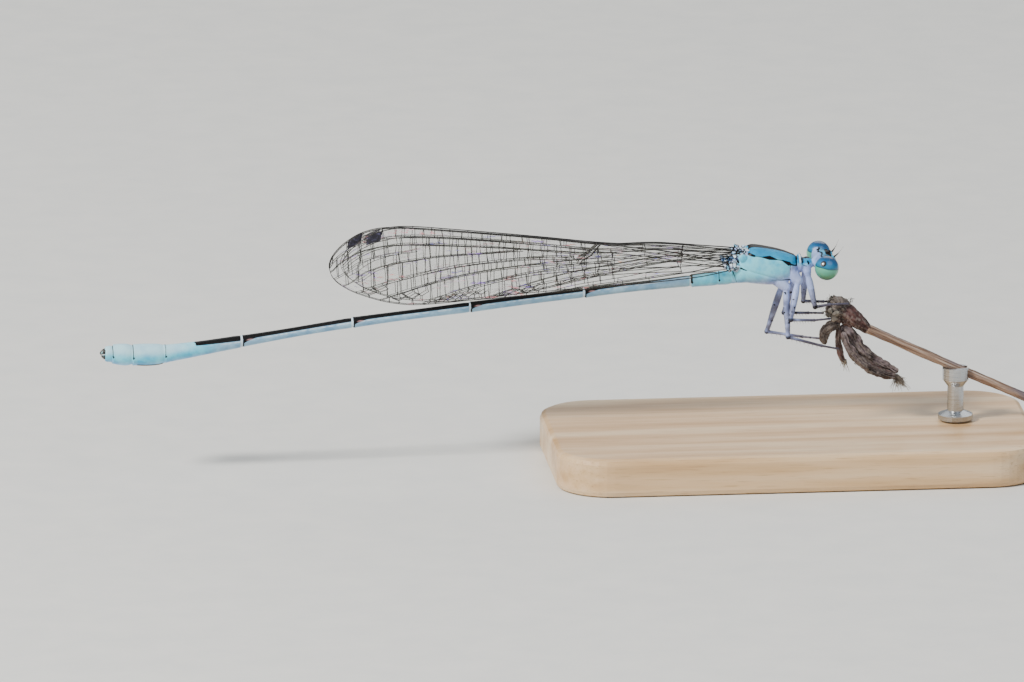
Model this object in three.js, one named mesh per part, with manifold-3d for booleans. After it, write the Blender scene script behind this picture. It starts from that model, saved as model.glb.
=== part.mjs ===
import * as THREE from "three";
import { LoftGeometry } from "three/addons/geometries/LoftGeometry.js";
import { mergeGeometries, mergeVertices } from "three/addons/utils/BufferGeometryUtils.js";
import Module from "manifold-3d";

// A slender blue damselfly, life size, gripping a withered flower head on its dry stalk,
// over a small display stand. Millimetres: +X runs to the head, +Y to the insect's left, +Z up.

const wasm = await Module();
wasm.setup();

// Driving sizes of the insect
const BODY_LENGTH = 38; // face to the tips of the claspers
const ABDOMEN_LENGTH = 0.855 * BODY_LENGTH;
const EYE_RADIUS = 0.0163 * BODY_LENGTH;
const HEAD_SPAN = 4.03 * EYE_RADIUS; // between the centres of the two eyes
const THORAX_HALF_WIDTH = 0.0263 * BODY_LENGTH;
const GAP = 0.12; // clearance between touching pieces
const THIN = 0.44; // least thickness of legs and wings

// Driving sizes of the perch and the stand
const STALK_RADIUS = 0.24;
const BASE = { length: 25, width: 13, thick: 2, middle: 3, top: -8 };
const ROD = { radius: 0.42, x: 11.6, foot: 0.9, cup: 0.68 };

const MERGE = 1e-4; // points closer than this are one point
const SLIVER = 0.004; // edges shorter than this are closed up after a cut
const SIDES = { left: 1, right: -1 };
const LATERAL = new THREE.Vector3(0, 1, 0);

const at = (x, y, z) => new THREE.Vector3(x, y, z);
const mix = THREE.MathUtils.lerp;

// Solids

function manifoldOf(positions, faces) {
  const mesh = new wasm.Mesh({
    numProp: 3,
    vertProperties: positions,
    triVerts: new Uint32Array(faces),
  });
  return new wasm.Manifold(mesh);
}

// A closed geometry as a solid that faces outwards.
function solid(geometry) {
  const bare = new THREE.BufferGeometry();
  bare.setAttribute("position", geometry.getAttribute("position").clone());
  bare.setIndex(geometry.index);
  const merged = mergeVertices(bare, MERGE);
  const faces = [];
  for (let i = 0; i < merged.index.count; i += 3) {
    const [a, b, c] = [0, 1, 2].map((k) => merged.index.getX(i + k));
    if (a !== b && b !== c && c !== a) faces.push(a, b, c);
  }
  const positions = merged.getAttribute("position").array;
  const made = manifoldOf(positions, faces);
  return made.volume() < 0 ? manifoldOf(positions, faces.reverse()) : made;
}

const union = (solids) => solids.reduce((sum, one) => sum.add(one));

// A shape is a function of extra thickness. Cutting a shape by its neighbours, each made
// thicker by the gap, leaves two faces that follow each other.
function cut(shape, ...neighbours) {
  let made = shape(0);
  for (const near of neighbours) made = made.subtract(near(GAP));
  const bodies = made.simplify(SLIVER).decompose();
  return bodies.reduce((best, one) => (one.volume() > best.volume() ? one : best));
}

// One closed cross-section at a point of a limb or trunk. The top half can rise to a peak
// or be boxy, by its power, and a keel lifts its middle point alone.
function ring(point, along, width, top, bottom = top, options = {}) {
  const { sides = 12, peak = 1, box = 1, keel = 0 } = options;
  const across = LATERAL.clone().addScaledVector(along, -along.dot(LATERAL)).normalize();
  const up = along.clone().cross(across).normalize();
  return Array.from({ length: sides }, (_, i) => {
    const angle = (2 * Math.PI * i) / sides;
    const rise = Math.sin(angle);
    const lift =
      rise > 0
        ? top * rise ** peak + (rise > 0.999 ? keel : 0)
        : -bottom * Math.abs(rise) ** box;
    return point
      .clone()
      .addScaledVector(across, width * Math.cos(angle))
      .addScaledVector(up, lift);
  });
}

// A closed skin over the rings, wound so that they turn anticlockwise seen from the end.
function loft(rings) {
  const [first, next] = rings;
  const turn = new THREE.Vector3();
  first.forEach((point, i) => {
    const from = point.clone().sub(first[0]);
    turn.add(from.cross(first[(i + 1) % first.length].clone().sub(first[0])));
  });
  const wound = turn.dot(next[0].clone().sub(first[0])) < 0;
  const sections = wound ? rings.map((points) => [...points].reverse()) : rings;
  return solid(new LoftGeometry(sections, { capStart: true, capEnd: true }));
}

// A tapered limb through the points, with a radius at each and round ends.
function limb(points, radii, extra = 0, sides = 8) {
  const last = points.length - 1;
  const heading = (i) =>
    points[Math.min(i + 1, last)].clone().sub(points[Math.max(i - 1, 0)]).normalize();
  const section = (i, shift, share) => {
    const radius = radii[i] + extra;
    const centre = points[i].clone().addScaledVector(heading(i), shift * radius);
    return ring(centre, heading(i), share * radius, share * radius, undefined, { sides });
  };
  const round = [
    [0.94, 0.35],
    [0.6, 0.8],
  ];
  return loft([
    ...round.map(([shift, share]) => section(0, -shift, share)),
    ...points.map((_, i) => section(i, 0, 1)),
    ...round.reverse().map(([shift, share]) => section(last, shift, share)),
  ]);
}

// An ellipsoid, placed by a matrix when it belongs to a turned piece.
function blob(centre, radii, extra = 0, place = new THREE.Matrix4(), detail = 14) {
  const geometry = new THREE.SphereGeometry(1, detail, Math.round(0.7 * detail));
  geometry.scale(...radii.map((radius) => radius + extra));
  geometry.translate(centre.x, centre.y, centre.z).applyMatrix4(place);
  return solid(geometry);
}

const damselfly = new THREE.Group();

function addNode(name, made, material) {
  const { vertProperties, triVerts } = made.getMesh();
  const geometry = new THREE.BufferGeometry();
  geometry.setAttribute("position", new THREE.BufferAttribute(vertProperties, 3));
  geometry.setIndex(new THREE.BufferAttribute(triVerts, 1));
  geometry.computeVertexNormals();
  const mesh = new THREE.Mesh(geometry, material);
  mesh.name = name;
  damselfly.add(mesh);
}

const finish = (color, roughness, metalness = 0) =>
  new THREE.MeshStandardMaterial({ color, roughness, metalness });
const CUTICLE = finish(0x9ddbe0, 0.45);
const TAIL = finish(0xa9bfd0, 0.45);
const LIMBS = finish(0xb9bcd4, 0.5);
const EYES = finish(0x4a9fc0, 0.2);
const FEELERS = finish(0x2a2c34, 0.5);
const WING = finish(0x6a6252, 0.3);
const WITHERED = finish(0x6b5450, 0.9);
const STRAW = finish(0xb8a193, 0.8);
const MAPLE = finish(0xd9b98c, 0.55);
const STEEL = finish(0xb8bcc0, 0.35, 1);

// Head, a wide capsule with an eye at each end, turned and rolled a little

const HEAD_PLACE = new THREE.Matrix4().compose(
  at(4.68, 0, 0.65),
  new THREE.Quaternion().setFromEuler(
    new THREE.Euler(THREE.MathUtils.degToRad(4.5), 0, THREE.MathUtils.degToRad(3)),
  ),
  at(1, 1, 1),
);
const onHead = (x, y, z, radii, detail) => (extra) =>
  blob(at(x, y, z), radii, extra, HEAD_PLACE, detail);

const eye = (side) => (extra) =>
  blob(
    at(0, (side * HEAD_SPAN) / 2, 0),
    [EYE_RADIUS, 0.97 * EYE_RADIUS, 1.02 * EYE_RADIUS],
    extra,
    HEAD_PLACE,
    16,
  );
const capsule = onHead(0, 0, 0, [0.52, 1.35, 0.5], 16);
const vertex = onHead(0.12, 0, 0.38, [0.32, 0.5, 0.18], 10);
const frons = onHead(0.4, 0, -0.04, [0.32, 0.6, 0.34], 12);
const ocellus = (x, y) => onHead(x, y, 0.53, [0.09, 0.1, 0.08], 6);
const antennaSocket = (side) => onHead(0.44, side * 0.36, 0.24, [0.16, 0.16, 0.16], 8);
const labrum = onHead(0.46, 0, -0.44, [0.26, 0.46, 0.22], 12);
const labium = onHead(0.1, 0, -0.54, [0.42, 0.46, 0.26], 12);

const head = (extra) =>
  union(
    [
      capsule,
      vertex,
      frons,
      ocellus(0.34, 0),
      ocellus(0.18, 0.18),
      ocellus(0.18, -0.18),
      antennaSocket(1),
      antennaSocket(-1),
    ].map((shape) => shape(extra)),
  );
const mouthparts = (extra) => labrum(extra).add(labium(extra));

// An antenna is two thick joints at the root, then a bristle that thins to its tip.
const antenna = (side) => (extra) => {
  const path = [
    [0.46, 0.36, 0.26],
    [0.66, 0.44, 0.42],
    [0.86, 0.56, 0.7],
    [1.04, 0.7, 1.05],
  ].map(([x, y, z]) => at(x, side * y, z).applyMatrix4(HEAD_PLACE));
  return limb(path, [0.19, 0.15, 0.09, 0.04], extra, 6);
};

// Thorax. A trunk is a row of sections: place along X, top, bottom, half-width.

const FORWARD = at(1, 0, 0);

function trunk(sections, extra, options) {
  const last = sections.length - 1;
  return loft(
    sections.map(([x, top, bottom, width], i) => {
      const overhang = i === 0 ? -extra : i === last ? extra : 0;
      const half = (top - bottom) / 2 + extra;
      return ring(
        at(x + overhang, 0, (top + bottom) / 2),
        FORWARD,
        width * THORAX_HALF_WIDTH + extra,
        half,
        half,
        options,
      );
    }),
  );
}

const COXA = {
  fore: { from: [3.78, 0.22, 0.5], hip: [3.84, 0.52, 0.26], radii: [0.3, 0.27] },
  mid: { from: [2.95, 0.4, 0.2], hip: [3.36, 0.6, -0.2], radii: [0.4, 0.28] },
  hind: { from: [2.25, 0.4, -0.1], hip: [2.74, 0.6, -0.5], radii: [0.42, 0.28] },
};
const mirrored = ([x, y, z], side) => at(x, side * y, z);

const coxa = (leg, side) => (extra) =>
  limb(
    [mirrored(COXA[leg].from, side), mirrored(COXA[leg].hip, side)],
    COXA[leg].radii,
    extra,
  );

// Knobs that carry the wings, the hind pair lower, further back and wider apart.
const WING_ROOT = {
  fore: { from: [0.65, 0.32, 1.12], to: [0.36, 0.3, 1.2], radii: [0.3, 0.26] },
  hind: { from: [0.4, 0.6, 0.55], to: [0.06, 0.78, 0.6], radii: [0.3, 0.25] },
};
const wingRoot = (pair, side) => (extra) =>
  limb(
    [mirrored(WING_ROOT[pair].from, side), mirrored(WING_ROOT[pair].to, side)],
    WING_ROOT[pair].radii,
    extra,
  );

const pterothoraxTrunk = (extra) =>
  trunk(
    [
      [0.04, 0.56, -0.34, 0.4],
      [0.16, 0.9, -0.41, 0.62],
      [0.4, 1.28, -0.4, 0.8],
      [0.75, 1.5, -0.38, 0.92],
      [1.05, 1.58, -0.42, 0.98],
      [1.9, 1.42, -0.5, 1],
      [2.6, 1.24, -0.45, 0.92],
      [3.05, 1.08, -0.28, 0.74],
      [3.26, 0.92, -0.02, 0.5],
    ],
    extra,
    { sides: 16, peak: 1.2, box: 0.85, keel: 0.05 },
  );
const pterothorax = (extra) => {
  const pieces = [pterothoraxTrunk];
  for (const side of Object.values(SIDES)) {
    pieces.push(coxa("mid", side), coxa("hind", side));
    pieces.push(wingRoot("fore", side), wingRoot("hind", side));
  }
  return union(pieces.map((shape) => shape(extra)));
};

const prothorax = (extra) =>
  union([
    trunk(
      [
        [3.3, 1.04, 0.1, 0.56],
        [3.5, 1.04, 0.08, 0.62],
        [3.62, 0.84, 0.08, 0.55],
        [3.85, 0.86, 0.1, 0.56],
        [4.05, 0.76, 0.2, 0.42],
      ],
      extra,
      { sides: 14 },
    ),
    coxa("fore", 1)(extra),
    coxa("fore", -1)(extra),
    limb([at(3.95, 0, 0.48), at(4.4, 0, 0.6)], [0.24, 0.2], extra),
  ]);

// Abdomen, ten segments on one drooping curve. Each row has the share of the length where
// the segment starts, the height there, then its half-depth in front, middle and rear.

const WAIST = -0.05;
const SEGMENTS = [
  [0, -0.13, 0.34, 0.36, 0.35],
  [0.02, -0.14, 0.37, 0.36, 0.33],
  [0.063, -0.24, 0.3, 0.25, 0.28],
  [0.232, -0.72, 0.27, 0.25, 0.28],
  [0.413, -1.34, 0.27, 0.25, 0.28],
  [0.599, -2, 0.27, 0.25, 0.3],
  [0.774, -2.83, 0.32, 0.37, 0.46],
  [0.897, -3.39, 0.5, 0.58, 0.53],
  [0.948, -3.41, 0.54, 0.57, 0.48],
  [0.98, -3.34, 0.42, 0.42, 0.36],
];
const TAIL_END = [0.992, -3.33];
const WIDTH_SHARE = 0.95; // an abdomen is a little deeper than wide
const SHOULDER = 0.06; // how far the rounded rim of a segment reaches along it
const spine = new THREE.CatmullRomCurve3(
  [...SEGMENTS, TAIL_END].map(([share, z]) => at(WAIST - share * ABDOMEN_LENGTH, 0, z)),
);

// A curve through three values, at a share along it.
const arc3 = (front, middle, rear, s) =>
  mix(mix(front, 2 * middle - (front + rear) / 2, s), mix(2 * middle - (front + rear) / 2, rear, s), s);

const segment = (index) => (extra) => {
  const [, , front, middle, rear] = SEGMENTS[index];
  const place = (share) => (index + share) / SEGMENTS.length;
  const length = spine.getPoint(place(0)).distanceTo(spine.getPoint(place(1)));
  const trim = (GAP / 2 - extra) / length;
  const rim = trim + SHOULDER / length;
  const stations = [
    [trim, 0.84],
    [rim, 1],
    [0.25, 1],
    [0.5, 1],
    [0.75, 1],
    [1 - rim, 1],
    [1 - trim, 0.84],
  ].filter(([share]) => length > 1 || share < 0.2 || share > 0.8 || share === 0.5);
  return loft(
    stations.map(([share, scale]) => {
      const depth = scale * arc3(front, middle, rear, share) + extra;
      const along = spine.getTangent(place(THREE.MathUtils.clamp(share, 0.01, 0.99))).negate();
      return ring(spine.getPoint(place(share)), along, WIDTH_SHARE * depth, depth);
    }),
  );
};

// Two upper and two lower claspers at the tip of the tail.
const claspers = (extra) =>
  union(
    Object.values(SIDES).flatMap((side) => [
      limb([at(-32.1, side * 0.15, -3.18), at(-32.46, side * 0.12, -3.26)], [0.13, 0.07], extra, 6),
      limb([at(-32.1, side * 0.13, -3.5), at(-32.4, side * 0.1, -3.48)], [0.12, 0.06], extra, 6),
    ]),
  );
const lastSegment = (extra) => segment(SEGMENTS.length - 1)(extra).add(claspers(extra));

// Legs: knee, ankle and claw of each, from the hip of its coxa

const LEGS = {
  fore_left: [[3.82, 1.05, -1.73], [4.83, 0.8, -1.72], [5.51, 0.4, -1.62]],
  fore_right: [[4.17, -1.05, -1.54], [4.97, -0.75, -1.5], [6, -0.35, -1.58]],
  mid_left: [[2.84, 1.25, -2.37], [4.08, 1, -2.35], [4.82, 0.6, -2.28]],
  mid_right: [[2.84, -1.65, -2.04], [4.13, -1.05, -2.24], [5.04, -0.55, -2.3]],
  hind_left: [[1.97, 1.35, -3.37], [3.77, 0.9, -3.58], [4.62, 0.3, -3.55]],
  hind_right: [[2.75, -1.3, -3.03], [4.55, -0.85, -3.65], [5.52, -0.3, -3.98]],
};
const LEG_RADII = { hip: 0.25, thigh: 0.24, knee: 0.21, ankle: 0.19, claw: 0.08 };

function leg(name) {
  const [pair, sideName] = name.split("_");
  const hip = mirrored(COXA[pair].hip, SIDES[sideName]);
  const [knee, ankle, claw] = LEGS[name].map((point) => at(...point));
  const thigh = hip.clone().lerp(knee, 0.3);
  const { hip: a, thigh: b, knee: c, ankle: d, claw: e } = LEG_RADII;
  return {
    femur: (extra) => limb([hip, thigh, knee], [a, b, c], extra),
    tibia: (extra) => limb([knee, ankle], [c, d], extra),
    tarsus: (extra) => limb([ankle, claw], [d, e], extra),
  };
}
const legs = Object.fromEntries(Object.keys(LEGS).map((name) => [name, leg(name)]));

// Wings, held upright side by side. The outline of each runs from the root along the
// leading and the trailing edge to a blunt tip; the hind pair is the outer one.

const WINGS = {
  fore: {
    near: 0.06,
    lead: [[0.1, 1.34], [-3.7, 1.79], [-6.65, 1.81], [-9.9, 2.2], [-14, 2.64], [-17.4, 2.93],
      [-18.9, 2.74], [-20.1, 2.03], [-20.74, 1.05]],
    trail: [[0.1, 1.02], [-1.6, 0.95], [-3.7, 0.75], [-6.65, 0.2], [-10.9, -0.65], [-15.5, -1.1],
      [-17.5, -1], [-19.2, -0.5], [-20.3, 0], [-20.74, 0.55]],
  },
  hind: {
    near: 0.6,
    lead: [[-0.2, 0.78], [-3.7, 1.5], [-6.9, 1.86], [-9.9, 2.24], [-14, 2.7], [-16.8, 2.95],
      [-18.2, 2.78], [-19.4, 2.1], [-20.1, 1.2]],
    trail: [[-0.2, 0.42], [-0.8, 0.3], [-1.8, 0.1], [-3.3, -0.08], [-5.8, -0.34], [-8.5, -0.58],
      [-10.9, -0.76], [-13.5, -0.93], [-15.5, -0.95], [-17.5, -0.7], [-19, -0.2], [-20.1, 0.7]],
  },
};

// Veins stand out of both faces. Each runs at a share of the chord behind the leading edge,
// given at the root, the middle and the tip; cross-veins stand at shares of the span.
const VEINS = [
  [0.34, 0.13, 0.1],
  [0.5, 0.3, 0.3],
  [0.72, 0.56, 0.62],
  [0.9, 0.84, 0.93],
];
const CROSS_VEINS = [0.15, 0.33, 0.5, 0.67, 0.8];
const STIGMA = [0.9, 0.935]; // the thick dark cell near the tip, between the first two veins
const RIDGE = 0.05;
const VEIN_FOOT = 0.025; // share of the chord from a vein's crest to its foot
const CROSS_FOOT = 0.006; // share of the span

const WING_COLUMNS = [
  { u: 0 },
  ...CROSS_VEINS.flatMap((u) => [
    { u: u - CROSS_FOOT },
    { u, crest: true },
    { u: u + CROSS_FOOT },
  ]),
  { u: 0.85 },
  { u: STIGMA[0] - CROSS_FOOT },
  { u: STIGMA[0], stigma: true },
  { u: STIGMA[1], stigma: true },
  { u: STIGMA[1] + CROSS_FOOT },
  { u: 0.96 },
  { u: 0.98 },
  { u: 1 },
];
const WING_ROWS = [
  { v: () => 0, crest: true, stigma: true },
  { v: () => VEIN_FOOT, stigma: true },
  ...VEINS.flatMap((vein, index) =>
    [-1, 0, 1].map((step) => ({
      v: (u) => arc3(...vein, u) + step * VEIN_FOOT,
      crest: step === 0,
      stigma: index === 0 && step < 1,
    })),
  ),
  { v: () => 1, crest: true },
];

const edgeCurve = (points) => new THREE.CatmullRomCurve3(points.map(([x, z]) => at(x, 0, z)));

// Both faces are one grid of like triangles, joined by a strip round the rim.
const wing = (pair, side) => () => {
  const { near, lead, trail } = WINGS[pair];
  const leading = edgeCurve(lead);
  const trailing = edgeCurve(trail);
  const [lastColumn, lastRow] = [WING_COLUMNS.length - 1, WING_ROWS.length - 1];
  const point = (i, j, outer) => {
    const [column, row] = [WING_COLUMNS[i], WING_ROWS[j]];
    const place = leading.getPointAt(column.u).lerp(trailing.getPointAt(column.u), row.v(column.u));
    const raised = row.crest || column.crest || (row.stigma && column.stigma);
    const inset = raised ? 0 : RIDGE;
    return place.setY(side * (near + (outer ? THIN - inset : inset)));
  };
  const face = (outer) => {
    const geometry = new THREE.PlaneGeometry(1, 1, lastColumn, lastRow);
    const { position } = geometry.attributes;
    for (let k = 0; k < position.count; k++) {
      const [i, j] = [k % (lastColumn + 1), Math.floor(k / (lastColumn + 1))];
      position.setXYZ(k, ...point(i, j, outer));
    }
    return geometry;
  };
  const rim = [];
  for (let i = 0; i < lastColumn; i++) rim.push([i, 0]);
  for (let j = 0; j < lastRow; j++) rim.push([lastColumn, j]);
  for (let i = lastColumn; i > 0; i--) rim.push([i, lastRow]);
  for (let j = lastRow; j > 0; j--) rim.push([0, j]);
  const inner = face(false);
  inner.index.array.reverse();
  const strip = new LoftGeometry(
    [true, false].map((outer) => rim.map(([i, j]) => point(i, j, outer))),
  );
  const parts = [inner, face(true), strip];
  for (const geometry of parts) {
    geometry.deleteAttribute("normal");
    geometry.deleteAttribute("uv");
  }
  return solid(mergeGeometries(parts));
};

// Perch: a dry stalk, the calyx on its end, the crumpled crown and the hanging florets

const STALK = [at(7.1, 0, -3.06), at(11.1, 0, -4.96), at(15.8, 0, -7.12)];
const stalk = (extra) =>
  limb(STALK, [STALK_RADIUS, 0.94 * STALK_RADIUS, 0.88 * STALK_RADIUS], extra, 10);
const calyx = (extra) =>
  limb(
    [at(5.75, 0, -2.12), at(6.35, 0, -2.46), at(6.85, 0, -2.84), at(7.1, 0, -3.02)],
    [0.5, 0.46, 0.34, 0.27],
    extra,
    10,
  );

// The crown is a small heart with shrivelled sepals round it, each curling its own way.
const SEPALS = { count: 7, reach: 0.6, curl: 0.45, radii: [0.2, 0.19, 0.1] };
const CROWN_MIDDLE = at(5.45, 0, -1.88);
const CALYX_AXIS = at(-0.83, 0, 0.55).normalize();
const sepal = (index) => (extra) => {
  const turn = (2 * Math.PI * index) / SEPALS.count;
  const side = at(0, 1, 0);
  const up = CALYX_AXIS.clone().cross(side);
  const outward = side.multiplyScalar(Math.cos(turn)).addScaledVector(up, Math.sin(turn));
  const reach = SEPALS.reach * (1 + 0.18 * Math.sin(5 * turn + 1));
  const curl = SEPALS.curl * Math.cos(3 * turn + 0.6);
  const path = [0.35, 0.8, 1.1].map((share, step) =>
    CROWN_MIDDLE.clone()
      .addScaledVector(outward, share * reach)
      .addScaledVector(CALYX_AXIS, 0.1 + 0.5 * curl * step * step),
  );
  return limb(path, SEPALS.radii, extra, 7);
};
const crown = (extra) => {
  const sepals = Array.from({ length: SEPALS.count }, (_, index) => sepal(index)(extra));
  return union([blob(CROWN_MIDDLE, [0.48, 0.5, 0.44], extra, undefined, 10), ...sepals]);
};
const bract = (extra) =>
  limb(
    [at(5.6, 0, -2.66), at(5.2, 0, -2.86), at(4.82, 0, -3.22), at(4.8, 0, -3.7)],
    [0.24, 0.24, 0.24, 0.16],
    extra,
  );
const shortFloret = (extra) =>
  limb(
    [at(5.66, 0, -3), at(5.7, 0, -3.5), at(5.8, 0, -4.1), at(5.93, 0, -4.65)],
    [0.24, 0.24, 0.24, 0.15],
    extra,
  );
const upperFloret = (extra) =>
  limb(
    [
      at(5.95, 0.1, -2.85),
      at(6.35, 0.1, -3.6),
      at(7.1, 0.1, -4.38),
      at(8.15, 0.1, -5.18),
      at(8.8, 0.1, -5.58),
    ],
    [0.3, 0.32, 0.32, 0.28, 0.2],
    extra,
  );
const lowerFloret = (extra) =>
  limb(
    [
      at(6.02, -0.36, -2.95),
      at(6.2, -0.38, -3.8),
      at(6.65, -0.3, -4.55),
      at(7.25, -0.2, -5.15),
      at(8.2, -0.1, -5.72),
      at(8.85, 0, -6.12),
    ],
    [0.18, 0.22, 0.27, 0.3, 0.28, 0.2],
    extra,
  );

// Stand: a flat base with rounded corners and one rod that ends in a cup under the stalk

function roundedRectangle(length, width, corner) {
  const shape = new THREE.Shape();
  const [x, y] = [length / 2 - corner, width / 2 - corner];
  shape.absarc(x, y, corner, 0, Math.PI / 2);
  shape.absarc(-x, y, corner, Math.PI / 2, Math.PI);
  shape.absarc(-x, -y, corner, Math.PI, 1.5 * Math.PI);
  shape.absarc(x, -y, corner, 1.5 * Math.PI, 2 * Math.PI);
  return shape;
}

const standBase = () => {
  const bevel = 0.3;
  const outline = roundedRectangle(BASE.length - 2 * bevel, BASE.width - 2 * bevel, 2.5);
  const geometry = new THREE.ExtrudeGeometry(outline, {
    depth: BASE.thick - 2 * bevel,
    bevelThickness: bevel,
    bevelSize: bevel,
    bevelSegments: 2,
    curveSegments: 5,
  });
  geometry.translate(BASE.middle, 0, BASE.top - BASE.thick + bevel);
  return solid(geometry);
};

const stalkHeightAt = (x) => {
  const [, middle, end] = STALK;
  return mix(middle.z, end.z, (x - middle.x) / (end.x - middle.x));
};

const standRod = () => {
  const foot = BASE.top + GAP;
  const cradle = stalkHeightAt(ROD.x);
  const profile = [
    [0, foot],
    [ROD.foot, foot],
    [ROD.foot, foot + 0.25],
    [ROD.radius, foot + 0.45],
    [ROD.radius, cradle - 0.95],
    [ROD.cup, cradle - 0.6],
    [ROD.cup, cradle + 0.02],
    [0, cradle + 0.02],
  ].map(([radius, z]) => new THREE.Vector2(radius, z));
  const geometry = new THREE.LatheGeometry(profile, 20);
  geometry.rotateX(Math.PI / 2).translate(ROD.x, 0, 0);
  return solid(geometry);
};

// Nodes

const eyes = Object.values(SIDES).map(eye);
const tarsi = Object.values(legs).map((one) => one.tarsus);

addNode("head", cut(head, ...eyes), CUTICLE);
addNode("mouthparts", cut(mouthparts, head, ...eyes), CUTICLE);
for (const [name, side] of Object.entries(SIDES)) {
  addNode(`eye_${name}`, eye(side)(0), EYES);
  addNode(`antenna_${name}`, cut(antenna(side), head, eye(side)), FEELERS);
}
addNode("pterothorax", cut(pterothorax), CUTICLE);
addNode("prothorax", cut(prothorax, pterothorax, head, mouthparts, ...eyes), CUTICLE);
SEGMENTS.forEach((_, index) => {
  const shape = index === SEGMENTS.length - 1 ? lastSegment : segment(index);
  addNode(`abdomen_${index + 1}`, cut(shape, ...(index === 0 ? [pterothorax] : [])), TAIL);
});
for (const [name, { femur, tibia, tarsus }] of Object.entries(legs)) {
  const root = name.startsWith("fore") ? [prothorax, pterothorax] : [pterothorax, prothorax];
  addNode(`leg_${name}_femur`, cut(femur, ...root), LIMBS);
  addNode(`leg_${name}_tibia`, cut(tibia, femur), LIMBS);
  addNode(`leg_${name}_tarsus`, cut(tarsus, tibia), LIMBS);
}
for (const pair of Object.keys(WINGS)) {
  for (const [name, side] of Object.entries(SIDES)) {
    addNode(`wing_${pair}_${name}`, cut(wing(pair, side), pterothorax), WING);
  }
}
addNode("perch_stalk", cut(stalk, calyx), STRAW);
addNode("perch_calyx", cut(calyx, ...tarsi), WITHERED);
addNode("perch_crown", cut(crown, calyx, ...tarsi), WITHERED);
addNode("perch_bract", cut(bract, calyx, crown, ...tarsi), WITHERED);
addNode("perch_floret_short", cut(shortFloret, calyx, bract, ...tarsi), WITHERED);
addNode("perch_floret_upper", cut(upperFloret, calyx, shortFloret, bract), WITHERED);
addNode("perch_floret_lower", cut(lowerFloret, calyx, upperFloret, shortFloret), WITHERED);
addNode("stand_base", standBase(), MAPLE);
addNode("stand_rod", cut(standRod, stalk), STEEL);

// The origin is on the surface it stands on, under the middle of the whole
const bounds = new THREE.Box3().setFromObject(damselfly, true);
const middle = bounds.getCenter(at(0, 0, 0));
damselfly.position.set(-middle.x, -middle.y, -bounds.min.z);

export default damselfly;
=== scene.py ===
import math
import random

import bmesh
import bpy
from mathutils import Euler, Matrix, Vector, noise

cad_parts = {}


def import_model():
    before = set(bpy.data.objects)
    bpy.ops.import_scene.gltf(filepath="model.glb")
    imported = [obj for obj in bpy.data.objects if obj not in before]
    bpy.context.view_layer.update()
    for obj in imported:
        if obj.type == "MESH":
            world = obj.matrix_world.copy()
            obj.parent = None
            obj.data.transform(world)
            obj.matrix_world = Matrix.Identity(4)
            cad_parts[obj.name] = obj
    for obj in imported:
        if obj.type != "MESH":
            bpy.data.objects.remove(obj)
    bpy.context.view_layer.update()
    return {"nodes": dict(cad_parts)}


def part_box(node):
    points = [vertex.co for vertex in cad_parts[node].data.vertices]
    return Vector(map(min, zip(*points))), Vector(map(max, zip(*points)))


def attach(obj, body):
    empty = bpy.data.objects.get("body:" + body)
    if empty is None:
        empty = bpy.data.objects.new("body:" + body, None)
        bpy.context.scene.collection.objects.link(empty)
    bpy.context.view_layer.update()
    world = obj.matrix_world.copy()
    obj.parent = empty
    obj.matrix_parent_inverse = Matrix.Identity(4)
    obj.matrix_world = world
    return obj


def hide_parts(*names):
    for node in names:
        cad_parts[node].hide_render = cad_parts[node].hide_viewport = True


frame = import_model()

# Shapes are worked out in millimetres in the insect's own frame: X to its head, Y to its
# left, Z up, from the back of the thorax. TO_ROW takes a finished mesh to the row frame.
MM = 0.001
BASE = {"middle": 3.0, "bottom": -10.0}
base_low, base_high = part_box("stand_base")
ORIGIN = Vector(
    (
        (base_low.x + base_high.x) / 2 - BASE["middle"] * MM,
        (base_low.y + base_high.y) / 2,
        base_low.z - BASE["bottom"] * MM,
    )
)
TO_ROW = Matrix.Translation(ORIGIN) @ Matrix.Scale(MM, 4)
LATERAL = Vector((0, 1, 0))
SIDES = {"left": 1, "right": -1}
WELD = 1e-5
rng = random.Random(7)
noise.seed_set(7)  # the sepals' crumpling, which differs from run to run without it


# Numbers and curves

def mix(a, b, share):
    return a + (b - a) * share


def clamp(value, low=0.0, high=1.0):
    return max(low, min(high, value))


def ease(low, high, value):
    share = clamp((value - low) / (high - low))
    return share * share * (3 - 2 * share)


def hermite(rows, value):
    """A smooth row of numbers at a value of the first column, between rows in rising order."""
    last = len(rows) - 1
    value = clamp(value, rows[0][0], rows[last][0])
    k = next(i for i in range(last) if value <= rows[i + 1][0] or i == last - 1)
    before, start, end, after = rows[max(k - 1, 0)], rows[k], rows[k + 1], rows[min(k + 2, last)]
    span = end[0] - start[0]
    t = (value - start[0]) / span
    made = []
    for a, b, c, d in zip(before[1:], start[1:], end[1:], after[1:]):
        slope = (c - a) / (end[0] - before[0]) * span
        next_slope = (d - b) / (after[0] - start[0]) * span
        made.append(
            (2 * t**3 - 3 * t**2 + 1) * b
            + (t**3 - 2 * t**2 + t) * slope
            + (3 * t**2 - 2 * t**3) * c
            + (t**3 - t**2) * next_slope
        )
    return made


def resample(points, count):
    """Points at even distances on a smooth curve through the given ones."""
    vectors = [Vector(point) for point in points]
    rows = [(i, *vector) for i, vector in enumerate(vectors)]
    fine = [Vector(hermite(rows, i / 24)) for i in range(24 * (len(rows) - 1) + 1)]
    reach = [0.0]
    for a, b in zip(fine, fine[1:]):
        reach.append(reach[-1] + (b - a).length)
    made, k = [], 0
    for i in range(count + 1):
        want = reach[-1] * i / count
        while k < len(fine) - 2 and reach[k + 1] < want:
            k += 1
        share = (want - reach[k]) / max(reach[k + 1] - reach[k], 1e-9)
        made.append(fine[k].lerp(fine[k + 1], clamp(share)))
    return made


# Making shapes

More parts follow.
